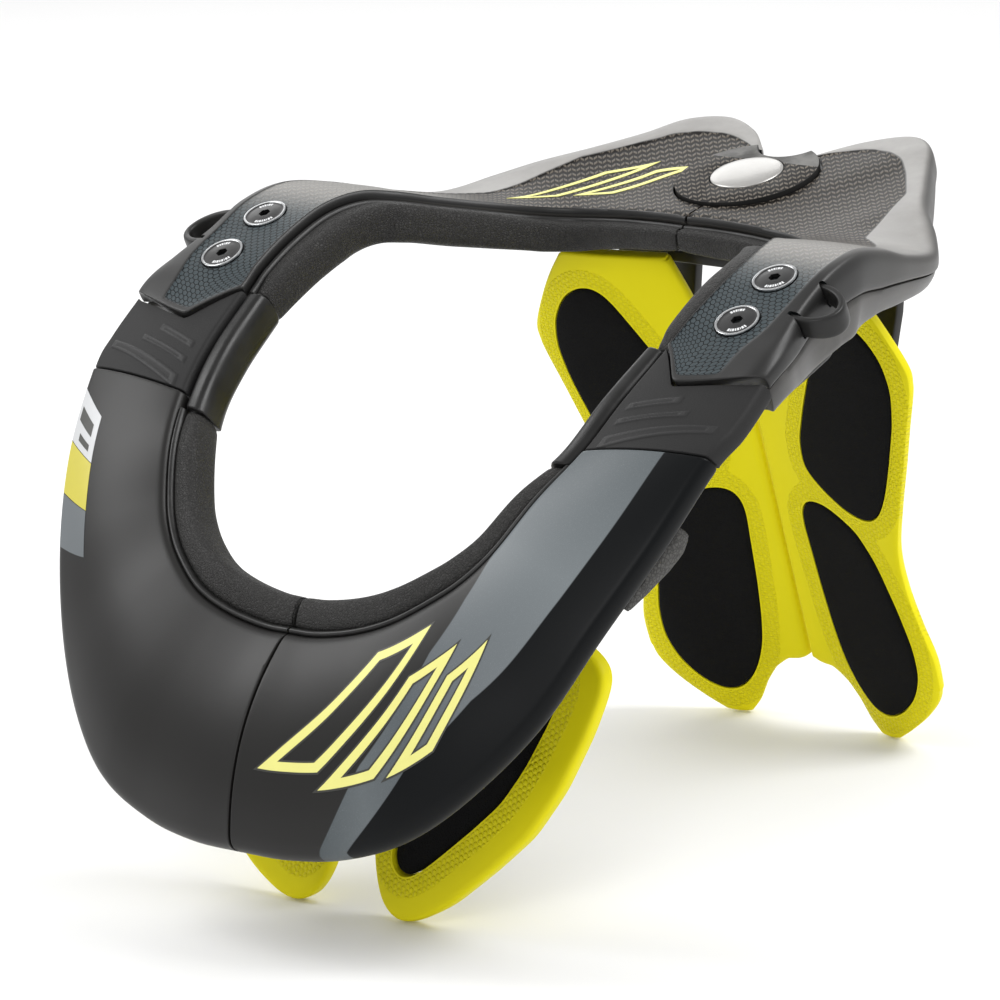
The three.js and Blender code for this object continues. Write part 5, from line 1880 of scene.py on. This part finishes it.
@dataclass
class Bolts:
    """Four bolts in the arms: a black disc in a polished rim, printed marks and a hex socket."""

    palette: Palette
    radius: float = 8.2 * MM
    rim: float = 0.75 * MM
    socket: float = 2.3 * MM

    def disc(self) -> Piece:
        """One bolt at the origin, facing +Z: disc 0, rim 1."""
        obj = cylinder("bolt_model", self.radius, 1.4 * MM, (0, 0, -0.3 * MM), 72)
        steps = ((self.rim, 0.0), (0.35 * MM, -0.35 * MM), (1.1 * MM, 0.1 * MM), (2.2 * MM, 0.3 * MM))
        for inset, rise in steps:
            self.top_face(obj, inset, rise)
        soften(obj, 0.14 * MM, 2, 30)
        cut(obj, cylinder("hex_cutter", self.socket, 4 * MM, (0, 0, 0.9 * MM), 6))
        obj.data.materials.append(self.palette.bolt)
        obj.data.materials.append(self.palette.rim)
        for face in obj.data.polygons:
            out = math.hypot(face.center.x, face.center.y)
            inside = out < self.radius * 0.36 and out > self.socket * 0.99
            if out > self.radius - self.rim * 1.15 or (inside and face.normal.z > 0.2):
                face.material_index = 1
        return obj

    def top_face(self, obj: Piece, inset: float, rise: float) -> None:
        """Insets the top face and moves it up."""
        select_only(obj)
        bpy.ops.object.mode_set(mode="EDIT")
        mesh = bmesh.from_edit_mesh(obj.data)
        bpy.ops.mesh.select_mode(type="FACE")
        bpy.ops.mesh.select_all(action="DESELECT")
        tops = (face for face in mesh.faces if face.normal.z > 0.9)
        max(tops, key=lambda face: face.calc_area() if len(face.verts) > 20 else 0).select_set(True)
        bmesh.update_edit_mesh(obj.data)
        bpy.ops.mesh.inset(thickness=inset, depth=0)
        bpy.ops.transform.translate(value=(0, 0, rise))
        bpy.ops.object.mode_set(mode="OBJECT")

    def ticks(self) -> list[tuple[float, float]]:
        """Start and sweep in degrees of the printed ticks, in two groups round the disc."""
        widths = (7, 4, 8, 5, 7, 3, 8, 6)
        found = []
        for first, pick in ((-92, widths), (95, widths[::-1][:6])):
            angle = float(first)
            for width in pick:
                found.append((angle, float(width)))
                angle += width + 3.2
        return found

    def marks(self) -> Piece:
        """Small printed ticks round the disc."""
        inner, outer = 5.0 * MM, 6.3 * MM
        section = ((inner, 0.34 * MM), (outer, 0.3 * MM), (outer, 0.0), (inner, 0.0))
        parts = []
        for start, sweep in self.ticks():
            rings = [
                np.array([[r * math.cos(a), r * math.sin(a), z] for r, z in section])
                for a in np.radians(np.linspace(start, start + sweep, 4))
            ]
            parts.append(loft("mark_part", np.stack(rings), None, (0.0, 0.0)))
        select_only(*parts)
        bpy.ops.object.join()
        return named("bolt_marks_model")

    def build(self) -> None:
        """Copies the bolt to its four seats."""
        p = self.palette
        disc, marks = self.disc(), self.marks()
        shade(disc, 35)
        flip = Matrix.Scale(-1, 4, (1, 0, 0))
        for seat, level in ((UPPER_BOLT, "upper"), (LOWER_BOLT, "lower")):
            for side in Side:
                place = seat.matrix()
                if side is Side.RIGHT:
                    place = flip @ place @ flip
                spot = f"{level}_{side.value}"
                for source, name, material, nodes in (
                    (disc, "screw", (p.bolt, p.rim), [f"bolt_{spot}"]), (marks, "screw_print", p.mark, []),
                ):
                    copy = bpy.data.objects.new(f"{name}_{spot}", source.data.copy())
                    copy.data.name = copy.name
                    bpy.context.scene.collection.objects.link(copy)
                    copy.data.transform(place)
                    dress(copy, side.body, material, "dark_screw", nodes)
        for source in (disc, marks):
            bpy.data.objects.remove(source)


@dataclass
class Hub:
    """Hub cap with its scoop and post, and the domed badge in its seat."""

    palette: Palette

    def cap(self) -> Piece:
        """The cap and its post."""
        disc = HUB.cylinder("hub_plate", HUB.radius - GAP, HUB.thickness, 0.0, 160)
        seat = (HUB.badge_radius + GAP, 2 * HUB.badge_seat, HUB.badge_seat)
        cut(disc, HUB.cylinder("seat_cutter", *seat, 128))
        scoop = cylinder("scoop_cutter", HUB.notch_radius, 0.2, (0, HUB.notch_y, 0), 96)
        scoop.data.transform(HUB.matrix())
        cut(disc, scoop)
        soften(disc, 0.5 * MM, 3, 40)
        post = HUB.cylinder("hub_post", HUB.post_radius, 0.032, -HUB.thickness - 0.2 * MM, 64)
        select_only()
        bpy.ops.mesh.primitive_cube_add(size=0.12, location=(0, HUB.y, HUB.foot - 0.06))
        level = named("level_cutter")
        apply_place(level)
        cut(post, level)
        soften(post, 0.4 * MM, 2, 40)
        select_only(disc, post)
        bpy.ops.object.join()
        return shade(named("hub_plate"), 40)

    def badge(self) -> Piece:
        """The domed badge."""
        select_only()
        bpy.ops.mesh.primitive_uv_sphere_add(segments=96, ring_count=48, radius=HUB.badge_radius)
        obj = named("hub_dome")
        halve = {"plane_co": (0, 0, 0), "plane_no": (0, 0, 1), "clear_inner": True, "use_fill": True}
        edit(obj, lambda: bpy.ops.mesh.bisect(**halve))
        rise = (HUB.badge_height - HUB.badge_seat) / HUB.badge_radius
        obj.data.transform(Matrix.Diagonal((1, 1, rise, 1)))
        select_only(obj)
        bpy.ops.object.mode_set(mode="EDIT")
        mesh = bmesh.from_edit_mesh(obj.data)
        bpy.ops.mesh.select_mode(type="FACE")
        for face in mesh.faces:
            face.select_set(face.normal.z < -0.9)
        bmesh.update_edit_mesh(obj.data)
        bpy.ops.mesh.extrude_region_move(TRANSFORM_OT_translate={"value": (0, 0, GAP - HUB.badge_seat)})
        bpy.ops.object.mode_set(mode="OBJECT")
        edit(obj, merge_points(), face_out)
        obj.data.transform(HUB.matrix())
        soften(obj, 0.25 * MM, 2, 50)
        return shade(obj, 40)

    def build(self) -> None:
        """Builds and dresses the hub."""
        cap = self.cap()
        dress(cap, "core", (self.palette.hub, self.palette.plastic), "carbon_frame", ["hub_cap"])
        face_out_of = HUB.matrix().to_3x3() @ Vector((0, 0, 1))
        for face in cap.data.polygons:
            face.material_index = 0 if face.normal.dot(face_out_of) > 0.8 else 1
        dress(self.badge(), "core", self.palette.badge, "pearl_badge", ["hub_badge"])


def worn_outline(corners: Array) -> Array:
    """A closed outline in short steps, with its corners worn round."""
    dense = []
    for a, b in zip(corners, np.roll(corners, -1, 0)):
        count = max(int(np.linalg.norm(b - a) / OUTLINE_STEP), 1)
        dense += [a + (b - a) * k / count for k in range(count)]
    return rounded(np.array(dense)[None], OUTLINE_WEAR)[0]


def outline_body(
    name: str, outline: Array, profile: Rows, place: Callable[[Array, Array, float], Array]
) -> Piece:
    """A closed body inside an outline.

    Args:
        name: Name of the piece.
        outline: Corners by two.
        profile: Each ring's share of the way out from the middle, its inset and its offset.
        place: Gives the points at flat places, moved by an offset.

    Returns:
        The object.
    """
    centre = outline.mean(0)
    tangent = unit(np.roll(outline, -1, 0) - np.roll(outline, 1, 0))
    normal = np.stack([tangent[:, 1], -tangent[:, 0]], -1)
    if np.mean(np.sum(normal * (outline - centre), 1)) < 0:
        normal = -normal
    rings = []
    for share, inset, offset in profile:
        flat = centre + (outline - normal * inset - centre) * share
        rings.append(place(flat[:, 0], flat[:, 1], offset))
    points = np.stack(rings)
    points = np.concatenate([points, points[:, :1]], 1)
    points[0], points[-1] = points[0].mean(0), points[-1].mean(0)
    obj = grid_piece(name, points)
    edit(obj, merge_points(), face_out)
    return obj


def outline_distance(points: Array, outline: Array) -> Array:
    """Distance of flat points from a closed outline, below 0 inside it.

    Args:
        points: Points by two.
        outline: Corners by two.

    Returns:
        The distances.
    """
    start, end = outline, np.roll(outline, -1, 0)
    best = np.full(len(points), 1e9)
    crossings = np.zeros(len(points), int)
    for a, b in zip(start, end):
        side = b - a
        t = np.clip(((points - a) @ side) / max(side @ side, 1e-18), 0, 1)
        best = np.minimum(best, np.linalg.norm(points - a - t[:, None] * side, axis=1))
        if a[1] != b[1]:
            spans = (points[:, 1] > min(a[1], b[1])) & (points[:, 1] <= max(a[1], b[1]))
            crossing_x = a[0] + (points[:, 1] - a[1]) / (b[1] - a[1]) * side[0]
            crossings += spans & (points[:, 0] < crossing_x)
    return np.where(crossings % 2 == 1, -best, best)


@dataclass
class BackSupport:
    """Soft back support with four foams, its struts and the plate that carries them."""

    palette: Palette
    height: float = 192 * MM
    half_width: float = 89.5 * MM
    foot_y: float = 165.533 * MM
    lean: float = 0.285
    wrap: float = 13 * MM
    wrap_width: float = 45 * MM
    thickness: float = 6 * MM
    edge: float = 3 * MM
    droop: float = 1.2 * MM
    foam_depth: float = 3.2 * MM
    foam_proud: float = 1 * MM
    outline: tuple[tuple[float, float, float], ...] = (
        (0.0, 0.35, 0.46), (0.03, 0.29, 0.57), (0.07, 0.24, 0.69), (0.105, 0.18, 0.765), (0.13, 0.1, 0.79),
        (0.142, 0.0, 0.8), (0.2, 0.0, 0.8), (0.27, 0.0, 0.76), (0.35, 0.0, 0.728), (0.43, 0.0, 0.73),
        (0.52, 0.0, 0.79), (0.62, 0.0, 0.87), (0.7, 0.0, 0.93), (0.77, 0.0, 0.985), (0.8, 0.07, 1.0),
        (0.83, 0.115, 1.0), (0.875, 0.15, 0.955), (0.94, 0.2, 0.87), (1.0, 0.25, 0.77),
    )
    upper_foam: tuple[tuple[float, float, float], ...] = (
        (0.49, 0.56, 0.6), (0.505, 0.45, 0.65), (0.54, 0.33, 0.7), (0.58, 0.24, 0.74), (0.64, 0.25, 0.79),
        (0.72, 0.33, 0.85), (0.79, 0.41, 0.88), (0.85, 0.49, 0.86), (0.9, 0.56, 0.79), (0.925, 0.62, 0.7),
    )
    lower_foam: tuple[tuple[float, float, float], ...] = (
        (0.052, 0.39, 0.46), (0.07, 0.33, 0.54), (0.11, 0.27, 0.63), (0.16, 0.225, 0.68), (0.22, 0.2, 0.68),
        (0.3, 0.18, 0.64), (0.4, 0.165, 0.57), (0.46, 0.155, 0.49), (0.49, 0.165, 0.38), (0.505, 0.2, 0.3),
    )

    def surface(self, x: Array, z: Array, offset: Array | float = 0.0) -> Array:
        """Points of the body side, moved off it by an offset."""
        y = self.foot_y - self.lean * z - self.wrap * (1 - np.exp(-((x / self.wrap_width) ** 2)))
        normal = unit(np.array([0, -1, -self.lean]))
        return np.stack([x, y, z], -1) + normal * np.asarray(offset)[..., None]

    def closed_outline(self, rows: Rows) -> Array:
        """Worn outline of a foam from its level, inner and outer shares."""
        table = np.array(rows)
        inner = np.stack([table[:, 1] * self.half_width, table[:, 0] * self.height], -1)
        outer = np.stack([table[:, 2] * self.half_width, table[:, 0] * self.height], -1)
        return worn_outline(np.concatenate([inner, outer[::-1]]))

    def panel_half(self) -> Piece:
        """Left half of the panel, which follows the surface inside its outline."""
        table = np.array(self.outline)
        at = np.linspace(0, len(table) - 1, 150)
        level = smooth(table[:, 0], at) * self.height
        inner = np.interp(at, np.arange(len(table)), table[:, 1])
        low = np.where(inner <= 1e-6, 0, inner * self.half_width)[:, None]
        high = (smooth(table[:, 2], at) * self.half_width)[:, None]
        share = np.linspace(0, 1, 56)
        x = low * (1 - share) + high * share
        z = np.broadcast_to(level[:, None], x.shape)
        near_edge = np.minimum(np.minimum(high - x, np.where(low > 0, x - low, 1)), 1)
        top = self.surface(x, z, -self.droop * np.exp(-near_edge / (3 * MM)))
        x_back = np.where(low > 0, np.clip(x, low + self.edge, None), x)
        bottom = self.surface(np.minimum(x_back, high - self.edge), z, -self.thickness)
        ring = rounded(np.concatenate([top, bottom[:, ::-1]], 1), 3)
        ring[..., 0] = np.maximum(ring[..., 0], 0)
        return loft("back_panel", ring, None, (1.2 * MM, 1.2 * MM))

    def mark_band(self, obj: Piece) -> None:
        """Writes each point's distance from the nearest foam into a UV map."""
        co = np.array([v.co for v in obj.data.vertices])
        flat = np.stack([np.abs(co[:, 0]), co[:, 2]], -1)
        nearest = np.minimum(
            outline_distance(flat, self.closed_outline(self.upper_foam)),
            outline_distance(flat, self.closed_outline(self.lower_foam)),
        )
        add_uv(obj, "marks", np.stack([nearest, nearest * 0], -1))

    def pocket(self, name: str, rows: Rows, grow: float, front: float, back: float) -> Piece:
        """A body over a foam's outline, for a pocket or for the foam itself.

        Args:
            name: Name of the piece.
            rows: Outline table.
            grow: How far the outline is moved out.
            front: Offset of its body side.
            back: Depth of its other side.

        Returns:
            The object.
        """
        profile = [(share, 0.0, front) for share in (0.02, 0.35, 0.7)]
        profile += [
            (1.0, inset * MM, front - sunk * MM)
            for inset, sunk in ((1.6, 0.1), (0.7, 0.35), (0.15, 0.9), (0.0, 1.6))
        ]
        profile += [(share, 0.0, -back) for share in (1.0, 0.7, 0.35, 0.02)]
        profile = [(share, inset - grow, offset) for share, inset, offset in profile]
        return outline_body(name, self.closed_outline(rows), profile, self.surface)

    def build(self) -> None:
        """Builds and dresses the support, foams, struts and plate."""
        p = self.palette
        panel = self.panel_half()
        other = mirrored(panel, "back_panel_other")
        panel.data.transform(Matrix.Translation((-0.02 * MM, 0, 0)))
        cut(panel, other, "UNION")
        foams = ((self.upper_foam, "upper"), (self.lower_foam, "lower"))
        for rows, _ in foams:
            for side in Side:
                cutter = self.pocket("pocket_cutter", rows, GAP, 9 * MM, self.foam_depth)
                cut(panel, turned_over(cutter) if side is Side.RIGHT else cutter)
        soften(panel, 0.35 * MM, 2, 55)
        self.mark_band(panel)
        dress(shade(panel, 40), "core", p.yellow, "yellow_moulding", ["back_support"])
        for rows, level in foams:
            depth = self.foam_depth - GAP
            foam = self.pocket(f"foam_{level}_left", rows, -0.1 * MM, self.foam_proud, depth)
            other = mirrored(foam, f"foam_{level}_right")
            for obj, side in ((foam, Side.LEFT), (other, Side.RIGHT)):
                nodes = [f"back_foam_{level}_{side.value}"]
                dress(shade(obj, 60), "core", p.foam, "black_foam", nodes)
        for node in ("strut_left", "strut_right", "support_bracket"):
            dress(cad_copy(node, f"{node}_bar"), "core", p.plastic, "black_plastic", [node])


@dataclass
class ChestPads:
    """Soft chest pads with their dark insets, and the bars that carry them."""

    palette: Palette
    length: float = 126.5 * MM
    heading: float = 52
    width: float = 60 * MM
    tip_x: float = 24 * MM
    tip_y: float = -118.467 * MM
    lean: float = 0.257
    thickness: float = 7 * MM
    border: float = 17.5 * MM
    inner_border: float = 12 * MM
    end_border: float = 13 * MM
    inset_sink: float = 1.2 * MM
    rows: tuple[tuple[float, float, float], ...] = (
        (0.0, -0.2, -0.06), (0.03, -0.32, 0.03), (0.08, -0.46, 0.1), (0.17, -0.6, 0.18), (0.34, -0.7, 0.26),
        (0.5, -0.74, 0.315), (0.66, -0.72, 0.29), (0.83, -0.6, 0.2), (0.93, -0.46, 0.12), (0.98, -0.27, 0.07),
        (1.0, -0.12, 0.0),
    )

    def rise(self, along: Array, across: Array) -> Array:
        """Height of a point of the pad over its axis origin."""
        turn = math.radians(self.heading)
        return along * math.sin(turn) - across * math.cos(turn)

    def lowest(self) -> float:
        """Height of the pad's lowest corner before it is set on the floor."""
        return min(
            self.rise(at * self.length, side * self.width) for at, *sides in self.rows for side in sides
        )

    def point(self, along: Array, across: Array, forward: Array | float) -> Array:
        """Point of the pad, moved forward off its front face."""
        turn = math.radians(self.heading)
        x = self.tip_x + along * math.cos(turn) + across * math.sin(turn)
        z = self.rise(along, across) - self.lowest()
        return np.stack([x, self.tip_y + self.lean * z - forward, z], -1)

    def outline(self, inset: bool) -> Array:
        """Worn outline of the pad or of its inset, along and across its axis."""
        at, low, high = np.array(self.rows).T
        if inset:
            ends = self.end_border / self.length
            within = ends + (1 - 2 * ends) * at
            low = np.interp(within, at, low) + self.inner_border / self.width
            high = np.interp(within, at, high) - self.border / self.width
            at, low = within, np.minimum(low, high - 0.05)
        left = np.stack([at * self.length, low * self.width], -1)
        right = np.stack([at * self.length, high * self.width], -1)
        return worn_outline(np.concatenate([left, right[::-1]]))

    def pad(self) -> Piece:
        """The pad with its window, and each point's distance from the window in a UV map."""
        t = self.thickness
        profile = [(share, 0.0, 0.0) for share in (0.02, 0.2, 0.4, 0.6, 0.8, 0.9)]
        profile += [
            (1.0, inset * MM, forward * MM)
            for inset, forward in ((2.2, 0.0), (1.0, -0.3), (0.3, -1.0), (0.0, -2.2))
        ]
        profile += [(1.0, 0.0, -t + 1.5 * MM), (1.0, 0.5 * MM, -t + 0.4 * MM), (1.0, 1.5 * MM, -t)]
        profile += [(share, 0.0, -t) for share in (0.9, 0.6, 0.3, 0.02)]
        obj = outline_body("chest_pad_soft_left", self.outline(False), profile, self.point)
        through = [(0.02, 0, 2 * t), (0.5, 0, 2 * t), *((1.0, -GAP, k * t) for k in (2, 0, -2))]
        through += [(0.5, 0, -2 * t), (0.02, 0, -2 * t)]
        cut(obj, outline_body("window_cutter", self.outline(True), through, self.point))
        soften(obj, 0.5 * MM, 3, 55)
        co = np.array([v.co for v in obj.data.vertices])
        turn = math.radians(self.heading)
        cos, sin = math.cos(turn), math.sin(turn)
        dx, dz = co[:, 0] - self.tip_x, co[:, 2] + self.lowest()
        flat = np.stack([dx * cos + dz * sin, dx * sin - dz * cos], -1)
        distance = outline_distance(flat, self.outline(True))
        add_uv(obj, "marks", np.stack([distance, distance * 0], -1))
        return shade(obj, 40)

    def inset(self) -> Piece:
        """The dark foam in the window."""
        front, back = -self.inset_sink, -self.thickness + self.inset_sink
        profile = [(s, 0.0, front + 0.5 * MM * (1 - s * s)) for s in (0.02, 0.3, 0.6, 0.85)]
        profile += [
            (1.0, inset * MM, front - sunk * MM) for inset, sunk in ((1.2, 0.1), (0.5, 0.5), (0.1, 1.2))
        ]
        profile += [(1.0, 0.1 * MM, back)]
        profile += [(share, 0.0, back) for share in (0.7, 0.3, 0.02)]
        return shade(outline_body("chest_foam_left", self.outline(True), profile, self.point), 60)

    def build(self) -> None:
        """Builds and dresses both pads."""
        p = self.palette
        dress_pair(self.pad(), p.yellow, "yellow_moulding", "chest_pad")
        dress_pair(self.inset(), p.foam, "black_foam", "chest_inset")
        bar = cad_copy("chest_bracket_left", "chest_bar_left")
        dress_pair(bar, p.plastic, "black_plastic", "chest_bracket")


@dataclass(frozen=True)
class Softbox:
    """A rectangular light that faces the brace."""

    name: str
    place: tuple[float, float, float]
    size: tuple[float, float]
    watts: float
    target: tuple[float, float, float] = (0, 0, 0.12)

    def build(self) -> None:
        """Makes the light."""
        light = bpy.data.lights.new(self.name, "AREA")
        light.shape = "RECTANGLE"
        light.size, light.size_y = self.size
        light.energy = self.watts
        obj = bpy.data.objects.new(self.name, light)
        bpy.context.scene.collection.objects.link(obj)
        obj.location = self.place
        obj.rotation_euler = (Vector(self.target) - Vector(self.place)).to_track_quat("-Z", "Y").to_euler()


@dataclass
class Studio:
    """Pale floor, soft light and the camera of the photograph."""

    camera_at: Vector = field(default_factory=lambda: Vector((1.5857, -1.9064, 0.7496)))
    right: Vector = field(default_factory=lambda: Vector((0.7717, 0.6342, -0.0466)))
    up: Vector = field(default_factory=lambda: Vector((-0.1201, 0.2173, 0.9687)))
    lens: float = 252
    sky: float = 0.66
    floor_radius: float = 14
    floor_drop: float = 0.4 * MM
    lights: tuple[Softbox, ...] = (
        Softbox("back_left", (-1.35, 1.25, 1.1), (1.3, 0.9), 5.5),
        Softbox("top_right", (1.0, 0.6, 1.5), (1.1, 0.9), 22),
        Softbox("top_left", (-1.3, -0.5, 1.3), (0.8, 1.1), 14),
        Softbox("front_fill", (0.7, -2.0, 1.3), (0.8, 0.8), 13),
    )

    def floor(self) -> None:
        """A wide pale disc under the brace."""
        select_only()
        bpy.ops.mesh.primitive_circle_add(
            vertices=128, radius=self.floor_radius, fill_type="NGON", location=(0, 0, -self.floor_drop)
        )
        obj = named("floor")
        apply_place(obj)
        n = Nodes("pale_floor")
        haze = n.noise(n.place(), 1.5, 2, 0.5)
        colour = n.mix(haze, (0.86, 0.86, 0.86), (0.9, 0.9, 0.9))
        obj.data.materials.append(n.finish(Base_Color=colour, Roughness=n.scaled(haze, 0.75, 0.85)))
    def build(self) -> None:
        """Makes the floor, world, lights and camera."""
        scene = bpy.context.scene
        world = bpy.data.worlds.new("studio")
        world.use_nodes = True
        background = world.node_tree.nodes["Background"]
        background.inputs[0].default_value = (1.0, 1.0, 1.0, 1)
        background.inputs[1].default_value = self.sky
        scene.world = world
        scene.view_settings.view_transform = "Standard"
        self.floor()
        for light in self.lights:
            light.build()
        data = bpy.data.cameras.new("camera")
        data.lens = self.lens
        data.sensor_width = 36
        data.clip_start, data.clip_end = 0.05, 60
        camera = bpy.data.objects.new("camera", data)
        scene.collection.objects.link(camera)
        right = self.right.normalized()
        back = right.cross(self.up).normalized()
        up = back.cross(right)
        camera.matrix_world = Matrix((
            (right.x, up.x, back.x, self.camera_at.x), (right.y, up.y, back.y, self.camera_at.y),
            (right.z, up.z, back.z, self.camera_at.z), (0, 0, 0, 1),
        ))
        scene.camera = camera


def main() -> None:
    """Builds every sub-assembly in order."""
    logging.basicConfig(level=logging.INFO, format="%(message)s")
    palette = Palette()
    Studio().build()
    FrontHalf(palette).build()
    Padding(palette).build()
    RearYoke(palette).build()
    Bolts(palette).build()
    Hub(palette).build()
    BackSupport(palette).build()
    ChestPads(palette).build()
    select_only()


if __name__ == "__main__":
    main()
